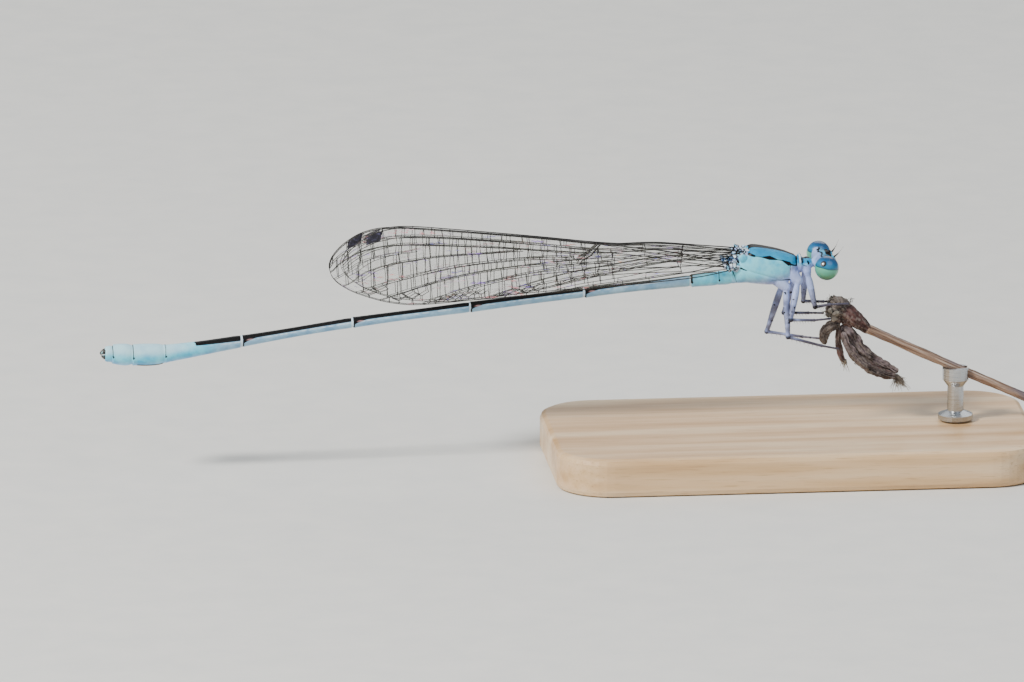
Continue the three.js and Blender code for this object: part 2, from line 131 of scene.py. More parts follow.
def sheet(bm, columns, rows, place):
    """A grid whose corner (column, row) lies where place says."""
    grid = bmesh.ops.create_grid(bm, x_segments=columns, y_segments=rows, size=1)["verts"]
    for vert in grid:
        column = round((vert.co.x + 1) / 2 * columns)
        row = round((vert.co.y + 1) / 2 * rows)
        vert.co = place(column, row)
    return grid


def tube(bm, rings):
    """A closed skin over cross-sections that have equally many points."""
    sides = len(rings[0])
    grid = sheet(bm, sides, len(rings) - 1, lambda i, j: rings[j][i % sides])
    bmesh.ops.remove_doubles(bm, verts=grid, dist=WELD)
    kept = [vert for vert in grid if vert.is_valid]
    rim = {edge for vert in kept for edge in vert.link_edges if edge.is_boundary}
    bmesh.ops.holes_fill(bm, edges=list(rim), sides=sides)
    faces = {face for vert in kept for face in vert.link_faces}
    bmesh.ops.recalc_face_normals(bm, faces=list(faces))
    return kept


def ring(centre, along, width, rise, sides=16, square=1.0):
    """One cross-section. Below 1, square makes it boxier."""
    along = Vector(along).normalized()
    across = (LATERAL - along * along.dot(LATERAL)).normalized()
    up = along.cross(across)
    points = []
    for k in range(sides):
        angle = 2 * math.pi * k / sides
        c, s = math.cos(angle), math.sin(angle)
        c = math.copysign(abs(c) ** square, c)
        s = math.copysign(abs(s) ** square, s)
        points.append(centre + across * (width * c) + up * (rise * s))
    return points


# Cross-sections that round off an end: how many radii beyond it, and share of the radius
ROUND_END = [(1, 0.02), (0.9, 0.44), (0.6, 0.8), (0.25, 0.97)]


def limb(bm, points, radii, sides=12, steps=24):
    """A tapered limb with round ends, smooth through points that have a radius each."""
    path = resample([(*point, radius) for point, radius in zip(points, radii)], steps)

    def section(i, beyond=0.0, share=1.0):
        x, y, z, radius = path[i]
        along = (path[min(i + 1, steps)] - path[max(i - 1, 0)]).xyz.normalized()
        centre = Vector((x, y, z)) + along * beyond * radius
        return ring(centre, along, share * radius, share * radius, sides=sides)

    rings = [section(0, -beyond, share) for beyond, share in ROUND_END]
    rings += [section(i) for i in range(steps + 1)]
    rings += [section(steps, beyond, share) for beyond, share in reversed(ROUND_END)]
    return tube(bm, rings)


def scatter():
    """A random place in a cube that reaches one each way."""
    return Vector([rng.uniform(-1, 1) for _ in range(3)])


def blob(bm, centre, radii, place=Matrix(), turn=(0, 0, 0), detail=24):
    """An ellipsoid."""
    matrix = place @ Matrix.LocRotScale(Vector(centre), Euler(turn), Vector(radii))
    return bmesh.ops.create_uvsphere(
        bm, u_segments=detail, v_segments=detail // 2, radius=1, matrix=matrix
    )["verts"]


def strands(bm, paths, sides=1):
    """Thin round strands, each a list of points with a radius each, added to a bmesh."""
    curve = bpy.data.curves.new("strands", "CURVE")
    curve.dimensions = "3D"
    curve.bevel_depth = 1.0
    curve.bevel_resolution = sides
    curve.use_fill_caps = True
    for path in paths:
        spline = curve.splines.new("POLY")
        spline.points.add(len(path) - 1)
        for point, (place, radius) in zip(spline.points, path):
            point.co = (*place, 1)
            point.radius = radius
    holder = bpy.data.objects.new("strands", curve)
    mesh = bpy.data.meshes.new_from_object(holder)
    bm.from_mesh(mesh)
    bpy.data.objects.remove(holder)
    bpy.data.curves.remove(curve)
    bpy.data.meshes.remove(mesh)


def roughen(verts, depth, size, seed, centre):
    """Moves points in and out by noise, away from a centre."""
    for vert in verts:
        value = noise.fractal((vert.co + Vector((seed, 2 * seed, 0))) / size, 0.7, 2.1, 4)
        vert.co += (vert.co - centre).normalized() * depth * value


def piece(name, bm, material, slot, *nodes):
    """A finished object in the row frame that rides on the body and stands for CAD nodes."""
    mesh = bpy.data.meshes.new(name)
    bm.to_mesh(mesh)
    bm.free()
    mesh.transform(TO_ROW)
    mesh.polygons.foreach_set("use_smooth", [True] * len(mesh.polygons))
    made = bpy.data.objects.new(name, mesh)
    bpy.context.collection.objects.link(made)
    mesh.materials.append(material)
    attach(made, "root")
    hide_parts(*nodes)
    return made


# Materials

def linear(code):
    """An sRGB hex colour as the linear numbers that a shader wants."""
    parts = [int(code[i:i + 2], 16) / 255 for i in (1, 3, 5)]
    return (*[p / 12.92 if p <= 0.04045 else ((p + 0.055) / 1.055) ** 2.4 for p in parts], 1)


def node(tree, kind, out, inputs=None, stops=(), **settings):
    """Adds a node with its settings and links, and gives one of its outputs. An input is a
    number, a hex colour or another node's output."""
    made = tree.nodes.new("ShaderNode" + kind)
    for key, value in settings.items():
        setattr(made, key, value)
    for key, value in (inputs or {}).items():
        if isinstance(value, bpy.types.NodeSocket):
            tree.links.new(value, made.inputs[key])
        else:
            made.inputs[key].default_value = linear(value) if isinstance(value, str) else value
    if stops:
        elements = made.color_ramp.elements
        while len(elements) < len(stops):
            elements.new(1)
        for element, (place, code) in zip(elements, stops):
            element.position = place
            element.color = linear(code)
    return made.outputs[out]


def finish(name, **values):
    """A new material, with the numbers that are the same all over set on its shader."""
    made = bpy.data.materials.new(name)
    made.use_nodes = True
    shader = made.node_tree.nodes["Principled BSDF"]
    for key, value in values.items():
        shader.inputs[key.replace("_", " ")].default_value = value
    return made, made.node_tree


def wired(made, **outputs):
    """The material, with what varies over it linked to its shader."""
    shader = made.node_tree.nodes["Principled BSDF"]
    for key, output in outputs.items():
        made.node_tree.links.new(output, shader.inputs[key.replace("_", " ")])
    return made


def millimetres(tree):
    """Object coordinates in the insect's own frame, in millimetres."""
    place = node(tree, "TexCoord", "Object")
    settings = {"Vector": place, "Location": -ORIGIN / MM, "Scale": (1 / MM,) * 3}
    return node(tree, "Mapping", "Vector", settings)


CLOUDY = {"Detail": 4, "Roughness": 0.55}  # the usual noise
SHARE, UNDER, OVER, MIXED = 0, 6, 7, 2  # the sockets by which a Mix node blends two colours


def cuticle():
    """Insect cuticle with a waxy bloom: matt, chalky blue over a faintly glossy shell."""
    made, tree = finish("waxy_cuticle", Roughness=0.42, Specular_IOR_Level=0.22, Coat_Weight=0.04,
                        Coat_Roughness=0.35)
    place = millimetres(tree)
    cloud = node(tree, "TexNoise", "Fac", {"Vector": place, "Scale": 1.6, **CLOUDY})
    fine = node(tree, "TexNoise", "Fac", {"Vector": place, "Scale": 14, **CLOUDY})
    pale, blue, lilac, grey = [
        node(tree, "ValToRGB", "Color", {"Fac": cloud}, stops)
        for stops in (
            ((0.34, "#4abbe0"), (0.6, "#84dff4")),
            ((0.3, "#0f7fb4"), (0.7, "#2fa6d6")),
            ((0.3, "#7f92cc"), (0.7, "#b7c5f0")),
            ((0.3, "#6f9cc0"), (0.7, "#a0c6de")),
        )
    ]
    black = node(tree, "ValToRGB", "Color", {"Fac": fine}, ((0.3, "#020203"), (0.8, "#0a0b10")))
    # white carries both pale marks and the painted highlight along the abdomen; tan carries both the legs'
    # darker colour and painted shade on them
    paints = {"blue": blue, "lilac": lilac, "grey": grey, "dark_leg_and_painted_shade": "#4f484f", "pale_and_painted_highlight": "#e6f2fa",
              "black": black, "pink": "#b78f92"}
    colour = pale
    for mark, paint in paints.items():
        share = node(tree, "Attribute", "Fac", attribute_name=mark)
        if mark == "black":
            edge = {"Value": share, "From Min": -0.01, "From Max": 0.01}
            share = node(tree, "MapRange", "Result", edge)
        colour = node(tree, "Mix", MIXED, {SHARE: share, UNDER: colour, OVER: paint}, data_type="RGBA")
    gloss = {"Value": fine, "From Min": 0.3, "From Max": 0.7, "To Min": 0.34, "To Max": 0.5}
    rough = node(tree, "MapRange", "Result", gloss)
    relief = node(tree, "Bump", "Normal", {"Height": fine, "Strength": 1, "Distance": 0.012 * MM})
    return wired(made, Base_Color=colour, Roughness=rough, Normal=relief)


def compound_eye():
    """Facets under a clear lens: blue above, green below, with a dark line between."""
    made, tree = finish("compound_eye", Roughness=0.3, Coat_Weight=0.7, Coat_Roughness=0.04)
    place = millimetres(tree)
    facets = node(tree, "TexVoronoi", "Distance", {"Vector": place, "Scale": 18}, feature="F1")
    cloud = node(tree, "TexNoise", "Fac", {"Vector": place, "Scale": 3, **CLOUDY})
    shift = {"Value": cloud, "From Min": 0.3, "From Max": 0.7, "To Min": -0.05, "To Max": 0.05}
    shift = node(tree, "MapRange", "Result", shift)
    level = node(tree, "Attribute", "Fac", attribute_name="level")
    level = node(tree, "Math", "Value", {0: level, 1: shift}, operation="ADD")
    level = node(tree, "MapRange", "Result", {"Value": level, "From Min": -1, "From Max": 1})
    stops = (
        (0.0, "#1a5c48"),
        (0.2, "#3c9577"),
        (0.47, "#4fae93"),
        (0.49, "#08333f"),
        (0.515, "#14637f"),
        (0.62, "#1c7cab"),
        (0.75, "#17639b"),
        (1.0, "#08284f"),
    )
    colour = node(tree, "ValToRGB", "Color", {"Fac": level}, stops)
    pupil = node(tree, "Attribute", "Fac", attribute_name="pupil")
    pupil = node(tree, "MapRange", "Result", {"Value": pupil, "From Min": -0.2, "From Max": 0.2})
    layers = {SHARE: pupil, UNDER: colour, OVER: "#04090e"}
    colour = node(tree, "Mix", MIXED, layers, data_type="RGBA")
    relief = node(tree, "Bump", "Normal", {"Height": facets, "Strength": 1, "Distance": 0.004 * MM})
    return wired(made, Base_Color=colour, Normal=relief)


def dark_cuticle():
    """Hard black cuticle: glossy, nearly black, brown where it is thin."""
    made, tree = finish("hard_black_cuticle", Roughness=0.3)
    fine = node(tree, "TexNoise", "Fac", {"Vector": millimetres(tree), "Scale": 9, **CLOUDY})
    colour = node(tree, "ValToRGB", "Color", {"Fac": fine}, ((0.35, "#0c0b0d"), (0.75, "#2a2420")))
    gloss = {"Value": fine, "From Min": 0.3, "From Max": 0.7, "To Min": 0.22, "To Max": 0.4}
    rough = node(tree, "MapRange", "Result", gloss)
    relief = node(tree, "Bump", "Normal", {"Height": fine, "Strength": 1, "Distance": 0.01 * MM})
    return wired(made, Base_Color=colour, Roughness=rough, Normal=relief)


def clasper_cuticle():
    """Black cuticle with pale patches, on the claspers."""
    made, tree = finish("clasper_cuticle", Roughness=0.35)
    place = millimetres(tree)
    patches = {"Vector": place, "Scale": 4.5, "Detail": 2, "Roughness": 0.55}
    patches = node(tree, "TexNoise", "Fac", patches)
    stops = ((0.46, "#0d0d10"), (0.56, "#1b1c22"), (0.6, "#8fb8c0"))
    colour = node(tree, "ValToRGB", "Color", {"Fac": patches}, stops)
    fine = node(tree, "TexNoise", "Fac", {"Vector": place, "Scale": 12, **CLOUDY})
    relief = node(tree, "Bump", "Normal", {"Height": fine, "Strength": 1, "Distance": 0.01 * MM})
    return wired(made, Base_Color=colour, Normal=relief)


def vein_cuticle():
    """Wing veins: hard, nearly black tubes with a brown cast."""
    made, tree = finish("wing_vein_cuticle", Roughness=0.4)
    cloud = node(tree, "TexNoise", "Fac", {"Vector": millimetres(tree), "Scale": 3, **CLOUDY})
    colour = node(tree, "ValToRGB", "Color", {"Fac": cloud}, ((0.3, "#070605"), (0.7, "#17120f")))
    return wired(made, Base_Color=colour)


def stigma_cuticle():
    """The thick cell near the tip of a wing: slate violet, wrinkled."""
    made, tree = finish("wing_stigma", Roughness=0.42)
    wrinkles = {"Vector": millimetres(tree), "Scale": 8, "Detail": 3, "Roughness": 0.7}
    wrinkles = node(tree, "TexNoise", "Fac", wrinkles)
    stops = ((0.35, "#0b0a12"), (0.55, "#1d1b2b"), (0.75, "#4f4c6b"))
    colour = node(tree, "ValToRGB", "Color", {"Fac": wrinkles}, stops)
    relief = node(tree, "Bump", "Normal", {"Height": wrinkles, "Strength": 1, "Distance": 0.03 * MM})
    return wired(made, Base_Color=colour, Normal=relief)


def membrane():
    """Wing membrane: a clear dry film, thin enough to show interference colours, with painted glints:
    streaks of those colours painted into its colour and opacity.
    """
    made, tree = finish("wing_membrane", Roughness=0.14, IOR=1.56, Thin_Film_Thickness=420,
                        Thin_Film_IOR=1.7)
    marks = {"X": "span", "Y": "chord", "Z": "side"}
    marks = {axis: node(tree, "Attribute", "Fac", attribute_name=mark) for axis, mark in marks.items()}
    wing = node(tree, "CombineXYZ", "Vector", marks)
    noises = []
    for scale, detail, roughness in (
        ((9, 4, 3), 2, 0.55),
        ((34, 26, 5), 2, 0.6),
        ((8, 5, 3), 1, 0.55),
        ((14, 9, 7), 1, 0.55),
    ):
        place = node(tree, "Mapping", "Vector", {"Vector": wing, "Scale": scale})
        pattern = {"Vector": place, "Scale": 1, "Detail": detail, "Roughness": roughness}
        noises.append(node(tree, "TexNoise", "Fac", pattern))
    cloud, painted_glint_share, painted_glint_patches, hue = noises
    # Painted glints: thin streaks in clustered patches, painted in interference colours
    painted_glint_patches = node(tree, "MapRange", "Result", {"Value": painted_glint_patches, "From Min": 0.48, "From Max": 0.58})
    painted_glint_share = node(tree, "MapRange", "Result", {"Value": painted_glint_share, "From Min": 0.57, "From Max": 0.64})
    painted_glint_share = node(tree, "Math", "Value", {0: painted_glint_share, 1: painted_glint_patches}, operation="MULTIPLY")
    painted_glint_colours = ((0.3, "#4a5cf0"), (0.42, "#9a5fe6"), (0.5, "#f3e6f2"), (0.58, "#ef7f9c"), (0.7, "#f5b98c"))
    painted_glint_colour = node(tree, "ValToRGB", "Color", {"Fac": hue}, painted_glint_colours)
    clear = node(tree, "ValToRGB", "Color", {"Fac": cloud}, ((0.3, "#a9a79c"), (0.7, "#c6cbcc")))
    colour = node(tree, "Mix", MIXED, {SHARE: painted_glint_share, UNDER: clear, OVER: painted_glint_colour}, data_type="RGBA")
    facing = node(tree, "LayerWeight", "Facing", {"Blend": 0.3})
    film = {"Value": facing, "From Min": 0, "From Max": 1, "To Min": 0.07, "To Max": 0.4}
    film = node(tree, "MapRange", "Result", film)
    # The painted glint streaks are also made more opaque, so that their painted colour shows
    painted_glint_opacity = node(tree, "Math", "Value", {0: painted_glint_share, 1: 0.6}, operation="MULTIPLY")
    alpha = node(tree, "Math", "Value", {0: film, 1: painted_glint_opacity}, operation="ADD")
    relief = node(tree, "Bump", "Normal", {"Height": cloud, "Strength": 1, "Distance": 0.03 * MM})
    return wired(made, Base_Color=colour, Alpha=alpha, Normal=relief)


def withered_petal(name="withered_petal", dark="#15100e", middle="#352b29", pale="#6b615b"):
    """Withered flower: papery, wrinkled lengthwise, with painted shade in its folds and paler on its raised
    rims.
    """
    made, tree = finish(name, Roughness=0.82)
    place = millimetres(tree)
    cloud = {"Vector": place, "Scale": 1.5, "Detail": 6, "Roughness": 0.55}
    cloud = node(tree, "TexNoise", "Fac", cloud)
    fine = {"Vector": place, "Scale": 8, "Detail": 6, "Roughness": 0.7}
    fine = node(tree, "TexNoise", "Fac", fine)
    stops = ((0.34, dark), (0.5, middle), (0.66, pale))
    colour = node(tree, "ValToRGB", "Color", {"Fac": cloud}, stops)
    ridge = node(tree, "NewGeometry", "Pointiness")
    # By pointiness: paler on raised rims, and painted shade darkening the hollow folds
    for value, none, full, most, paint in (
        (ridge, 0.5, 0.6, 0.5, "#8f857e"),
        (ridge, 0.49, 0.42, 0.8, "#080505"),
        (fine, 0.52, 0.75, 0.5, "#120b0a"),
    ):
        share = {"Value": value, "From Min": none, "From Max": full, "To Max": most}
        share = node(tree, "MapRange", "Result", share)
        colour = node(tree, "Mix", MIXED, {SHARE: share, UNDER: colour, OVER: paint}, data_type="RGBA")
    relief = node(tree, "Bump", "Normal", {"Height": fine, "Strength": 1, "Distance": 0.03 * MM})
    return wired(made, Base_Color=colour, Normal=relief)


def dry_stalk():
    """Dry grass stalk: straw with a pinkish bloom, split by dark lengthwise grooves."""
    made, tree = finish("dry_stalk", Roughness=0.7)
    slope = {"Vector": millimetres(tree), "Rotation": (0, -STALK_SLOPE, 0)}
    along = node(tree, "Mapping", "Vector", slope)
    grain = node(tree, "Mapping", "Vector", {"Vector": along, "Scale": (0.12, 5, 5)})
    fibres = {"Vector": grain, "Scale": 2, "Detail": 5, "Roughness": 0.6}
    fibres = node(tree, "TexNoise", "Fac", fibres)
    patches = node(tree, "Mapping", "Vector", {"Vector": along, "Scale": (0.5, 2, 2)})
    bloom = {"Vector": patches, "Scale": 1, "Detail": 3, "Roughness": 0.55}
    bloom = node(tree, "TexNoise", "Fac", bloom)
    stops = ((0.36, "#2e1f1a"), (0.45, "#7b6252"), (0.58, "#a48c7c"), (0.72, "#d3c3b5"))
    colour = node(tree, "ValToRGB", "Color", {"Fac": fibres}, stops)
    share = {"Value": bloom, "From Min": 0.5, "From Max": 0.6, "To Max": 0.6}
    share = node(tree, "MapRange", "Result", share)
    colour = node(tree, "Mix", MIXED, {SHARE: share, UNDER: colour, OVER: "#6b6570"}, data_type="RGBA")
    relief = node(tree, "Bump", "Normal", {"Height": fibres, "Strength": 1, "Distance": 0.05 * MM})
    return wired(made, Base_Color=colour, Normal=relief)


def maple():
    """Planed maple under satin lacquer: pale, with fine pores and soft grain."""
    made, tree = finish("maple_satin_lacquer", Roughness=0.4, Coat_Weight=0.3, Coat_Roughness=0.25)
    place = millimetres(tree)
    grain = node(tree, "Mapping", "Vector", {"Vector": place, "Scale": (0.06, 1, 1)})
    bands = node(tree, "TexNoise", "Fac", {"Vector": grain, "Scale": 0.9, **CLOUDY})
    short = node(tree, "Mapping", "Vector", {"Vector": place, "Scale": (0.35, 8, 8)})
    pores = {"Vector": short, "Scale": 1.6, "Detail": 3, "Roughness": 0.55}
    pores = node(tree, "TexNoise", "Fac", pores)
    stops = ((0.3, "#c49a68"), (0.5, "#d9b68a"), (0.7, "#e6cba6"))
    colour = node(tree, "ValToRGB", "Color", {"Fac": bands}, stops)
    share = {"Value": pores, "From Min": 0.58, "From Max": 0.72, "To Max": 0.5}
    share = node(tree, "MapRange", "Result", share)
    colour = node(tree, "Mix", MIXED, {SHARE: share, UNDER: colour, OVER: "#a67c50"}, data_type="RGBA")
    relief = node(tree, "Bump", "Normal", {"Height": pores, "Strength": 1, "Distance": 0.01 * MM})
    return wired(made, Base_Color=colour, Normal=relief)


def brushed_steel():
    """Stainless steel rod, drawn and brushed round: fine rings in its gloss."""
    made, tree = finish("brushed_stainless_steel", Roughness=0.3, Metallic=1)
    place = node(tree, "Mapping", "Vector", {"Vector": millimetres(tree), "Scale": (0.4, 0.4, 14)})
    rings = {"Vector": place, "Scale": 2, "Detail": 3, "Roughness": 0.55}
    rings = node(tree, "TexNoise", "Fac", rings)
    colour = node(tree, "ValToRGB", "Color", {"Fac": rings}, ((0.3, "#a9adb1"), (0.7, "#c8cbce")))
    gloss = {"Value": rings, "From Min": 0.3, "From Max": 0.7, "To Min": 0.22, "To Max": 0.4}
    return wired(made, Base_Color=colour, Roughness=node(tree, "MapRange", "Result", gloss))


def studio_paper():
    """Matt pale paper of the studio floor."""
    made, tree = finish("studio_paper", Roughness=0.9)
    cloud = node(tree, "TexNoise", "Fac", {"Vector": millimetres(tree), "Scale": 0.4, **CLOUDY})
    colour = node(tree, "ValToRGB", "Color", {"Fac": cloud}, ((0.3, "#dfe1e0"), (0.7, "#e6e7e5")))
    return wired(made, Base_Color=colour)


STALK_SLOPE = math.atan2(4.12, 8.8)
CUTICLE = cuticle()
EYE = compound_eye()
DARK = dark_cuticle()
CLASPER = clasper_cuticle()
VEIN = vein_cuticle()
STIGMA = stigma_cuticle()
MEMBRANE = membrane()
PETAL = withered_petal()
CALYX = withered_petal("withered_calyx", "#1a0c0c", "#3f2424", "#6e4c49")
FLORET = withered_petal("withered_floret", "#1c1416", "#54474a", "#8f8085")
PITH = withered_petal("withered_pith", "#2c2824", "#767065", "#bdb7a8")
STRAW = dry_stalk()


# Head, turned and rolled a little, with an eye at each end of a wide capsule

EYE_RADIUS = 0.62
HEAD_SPAN = 2.5
HEAD = Matrix.LocRotScale(
    Vector((4.68, 0, 0.65)), Euler((math.radians(4.5), 0, math.radians(3))), None
)


def on_head(x, y, z):
    return HEAD @ Vector((x, y, z))


def head(bm):
    blob(bm, (0, 0, 0.02), (0.44, 1.3, 0.47), HEAD, detail=32)
    blob(bm, (0.1, 0, 0.3), (0.36, 0.55, 0.22), HEAD)
    blob(bm, (0.4, 0, -0.02), (0.3, 0.56, 0.3), HEAD)
    blob(bm, (0.52, 0, -0.25), (0.2, 0.44, 0.16), HEAD)
    blob(bm, (0.46, 0, -0.44), (0.2, 0.4, 0.2), HEAD)
    blob(bm, (0.1, 0, -0.52), (0.4, 0.42, 0.24), HEAD)
    blob(bm, (-0.36, 0, -0.05), (0.16, 0.42, 0.3), HEAD)
    for x, y in ((0.36, 0), (0.2, 0.19), (0.2, -0.19)):
        blob(bm, (x, y, 0.48), (0.09, 0.09, 0.08), HEAD, detail=16)
    for side in SIDES.values():
        blob(bm, (0.44, side * 0.34, 0.24), (0.14, 0.13, 0.14), HEAD, detail=16)
        blob(bm, (-0.12, side * 0.7, 0.05), (0.34, 0.4, 0.46), HEAD)


def eye(side_name):
    side = SIDES[side_name]
    bm = bmesh.new()
    centre = Vector((0, side * HEAD_SPAN / 2, 0))
    radii = (EYE_RADIUS, 0.97 * EYE_RADIUS, 1.02 * EYE_RADIUS)
    blob(bm, centre, radii, HEAD, detail=64)
    made = piece("eye_" + side_name + "_lens", bm, EYE, "eye", "eye_" + side_name)
    middle = TO_ROW @ on_head(*centre)
    pupil = Vector((-0.37, side * 0.75, 0.55)).normalized()
    outward = [(vert.co - middle) / (EYE_RADIUS * MM) for vert in made.data.vertices]
    layers = {
        "level": [out.z + 0.19 * out.x - 0.12 for out in outward],
        "pupil": [1.0 - 30 * (1 - out.normalized().dot(pupil)) for out in outward],
    }
    for name, values in layers.items():
        made.data.attributes.new(name, "FLOAT", "POINT").data.foreach_set("value", values)
    return made


def antennae():
    bm = bmesh.new()
    for side in SIDES.values():
        knots = [(0.46, 0.36, 0.26), (0.6, 0.42, 0.38), (0.78, 0.52, 0.6), (0.95, 0.64, 0.92)]
        path = [on_head(x, side * y, z) for x, y, z in knots]
        limb(bm, path, [0.05, 0.04, 0.009, 0.004], sides=10, steps=40)
    return piece("antennae_pair", bm, DARK, "dark_cuticle", "antenna_left", "antenna_right")


# Trunk: place along X, top, bottom, half-width, boxiness of each cross-section

THORAX = [
    (-0.05, 0.21, -0.47, 0.34, 1.0),
    (0.02, 0.5, -0.44, 0.42, 1.0),
    (0.16, 0.86, -0.41, 0.6, 0.95),
    (0.4, 1.24, -0.4, 0.78, 0.9),
    (0.75, 1.48, -0.38, 0.9, 0.85),
    (1.05, 1.57, -0.42, 0.96, 0.82),
    (1.9, 1.43, -0.5, 0.98, 0.82),
    (2.6, 1.25, -0.45, 0.9, 0.85),
    (3.0, 1.1, -0.28, 0.74, 0.9),
    (3.2, 1.02, -0.02, 0.56, 1.0),
    (3.28, 0.94, 0.02, 0.46, 1.0),
    (3.36, 0.9, 0.06, 0.44, 1.0),
    (3.42, 1.04, 0.06, 0.55, 1.0),
    (3.5, 1.08, 0.06, 0.6, 1.0),
    (3.58, 0.9, 0.07, 0.56, 1.0),
    (3.66, 0.82, 0.08, 0.54, 1.0),
    (3.84, 0.87, 0.08, 0.56, 1.0),
    (3.98, 0.84, 0.14, 0.46, 1.0),
    (4.08, 0.74, 0.26, 0.32, 1.0),
    (4.2, 0.78, 0.36, 0.22, 1.0),
    (4.45, 0.82, 0.42, 0.2, 1.0),
]

# Abdomen: X and height where each segment starts, and its half-depth in front, middle, rear
ABDOMEN = [
    (-0.05, -0.13, 0.34, 0.36, 0.35),
    (-0.7, -0.14, 0.37, 0.36, 0.33),
    (-2.1, -0.24, 0.3, 0.25, 0.28),
    (-7.59, -0.72, 0.27, 0.25, 0.28),
    (-13.47, -1.34, 0.27, 0.25, 0.28),
    (-19.51, -2.0, 0.27, 0.25, 0.3),
    (-25.2, -2.83, 0.32, 0.37, 0.46),
    (-29.19, -3.39, 0.5, 0.57, 0.53),
    (-30.85, -3.41, 0.53, 0.56, 0.48),
    (-31.89, -3.34, 0.42, 0.42, 0.36),
]
TAIL_END = (-32.28, -3.33)
SPINE = [row[:2] for row in ABDOMEN + [TAIL_END]][::-1]
COLLAR = 0.1  # length of the flared rim at the rear of a segment
LAP = 0.012  # how far a segment's rear rim stands over the next one's front
STEP_SHARES = (0, 0.02, 0.05, 0.1, 0.2, 0.35, 0.5, 0.65, 0.8, 0.9, 0.95, 0.98, 1)
STATION_STEP = 0.03  # between the cross-sections of the thorax
WAIST = 0.02  # where the cross-sections of the abdomen take over


def spine_at(x):
    return hermite(SPINE, x)[0]


def segment_end(index):
    return (ABDOMEN + [TAIL_END])[index + 1][0]


def segment_depth(index, share):
    """Half-depth of a segment, pinched at its front and flared at its rear rim."""
    x, _, front, middle, rear = ABDOMEN[index]
    length = x - segment_end(index)
    control = 2 * middle - (front + rear) / 2
    depth = mix(mix(front, control, share), mix(control, rear, share), share)
    pinch = 0.1 * (1 - ease(0, min(0.3, 0.3 * length), share * length))
    flare = 0.07 * ease(-COLLAR, 0, (share - 1) * length)
    return depth * (1 - pinch + flare)


def trunk(bm):
    """Thorax and abdomen as one tube, from the neck to the tail."""
    rings = []
    neck = THORAX[-1][0]
    for k in range(1 + int((neck - WAIST) / STATION_STEP)):
        x = neck - STATION_STEP * k
        top, bottom, width, square = hermite(THORAX, x)
        centre = Vector((x, 0, (top + bottom) / 2))
        half = (top - bottom) / 2
        rings.append(ring(centre, (-1, 0, 0), width, half, sides=64, square=square))
    near = 0.1
    for index, row in enumerate(ABDOMEN):
        for share in STEP_SHARES:
            x = mix(row[0], segment_end(index), share) + (LAP if share == 1 else 0)
            depth = segment_depth(index, share)
            along = Vector((-1, 0, (spine_at(x - near) - spine_at(x + near)) / (2 * near)))
            centre = Vector((x, 0, spine_at(x)))
            rings.append(ring(centre, along, 0.95 * depth, depth, sides=64))
    tube(bm, rings)


COXA = {
    "fore": {"from": (3.78, 0.22, 0.5), "hip": (3.84, 0.5, 0.16), "radii": (0.28, 0.2)},
    "mid": {"from": (2.95, 0.4, 0.2), "hip": (3.34, 0.6, -0.24), "radii": (0.38, 0.26)},
    "hind": {"from": (2.25, 0.4, -0.1), "hip": (2.72, 0.6, -0.56), "radii": (0.4, 0.25)},
}
WING_ROOT = {
    "fore": {"from": (0.7, 0.3, 1.1), "to": (0.36, 0.3, 1.2)},
    "hind": {"from": (0.45, 0.55, 0.55), "to": (0.06, 0.76, 0.6)},
}


# The plates round the root of each wing: where they gather and how far they spread
HINGE = {
    "fore": {"middle": (0.36, 0.36, 1.2), "reach": (0.44, 0.2, 0.34), "knobs": 30,
             "plates": [(0.46, 0.76, 1.06, 0.22), (0.3, 0.42, 1.4, 0.12), (0.68, 0.62, 1.3, 0.14)]},
    "hind": {"middle": (-0.16, 0.6, 0.64), "reach": (0.4, 0.22, 0.3), "knobs": 28,
             "plates": [(0.04, 0.76, 0.74, 0.15), (-0.2, 0.66, 0.42, 0.13)]},
}


def sided(point, side):
    return Vector((point[0], side * point[1], point[2]))


def coxae(bm):
    for coxa in COXA.values():
        inner, outer = coxa["radii"]
        for side in SIDES.values():
            start, hip = sided(coxa["from"], side), sided(coxa["hip"], side)
            limb(bm, [start, start.lerp(hip, 0.5), hip], [inner, mix(inner, outer, 0.4), outer],
                 sides=20, steps=12)


def wing_hinges(bm):
    """Knobbly plates and struts at the root of each wing."""
    for pair, root in WING_ROOT.items():
        middle, reach = Vector(HINGE[pair]["middle"]), Vector(HINGE[pair]["reach"])
        for side in SIDES.values():
            start, end = sided(root["from"], side), sided(root["to"], side)
            limb(bm, [start, end], [0.24, 0.12], sides=16, steps=8)
            for x, y, z, radius in HINGE[pair]["plates"]:
                blob(bm, (x, side * y, z), (1.1 * radius, 0.5 * radius, radius), turn=(0, 0.5, 0))
            for k in range(HINGE[pair]["knobs"]):
                spread = scatter()
                spread = spread / max(1, spread.length) * 0.85
                place = Vector((middle.x, side * middle.y, middle.z)) + Vector(
                    (reach.x * spread.x, reach.y * spread.y, reach.z * spread.z)
                )
                radius = rng.uniform(0.05, 0.1)
                blob(bm, place, (rng.uniform(1.2, 2.4) * radius, radius, 0.8 * radius),
                     turn=(0, rng.uniform(0.2, 1.2), rng.uniform(-0.6, 0.6)), detail=12)


# Legs: knee, ankle and claw of each, from the hip of its coxa

LEGS = {
    "fore_left": ((3.82, 1.05, -1.73), (4.83, 0.8, -1.72), (5.51, 0.4, -1.62)),
    "fore_right": ((4.17, -1.05, -1.54), (4.97, -0.75, -1.5), (6.0, -0.35, -1.58)),
    "mid_left": ((2.84, 1.25, -2.37), (4.08, 1.0, -2.35), (4.82, 0.6, -2.28)),
    "mid_right": ((2.84, -1.65, -2.04), (4.13, -1.05, -2.24), (5.04, -0.55, -2.3)),
    "hind_left": ((1.97, 1.35, -3.37), (3.77, 0.9, -3.58), (4.62, 0.3, -3.55)),
    "hind_right": ((2.75, -1.3, -3.03), (4.55, -0.85, -3.65), (5.52, -0.3, -3.98)),
}


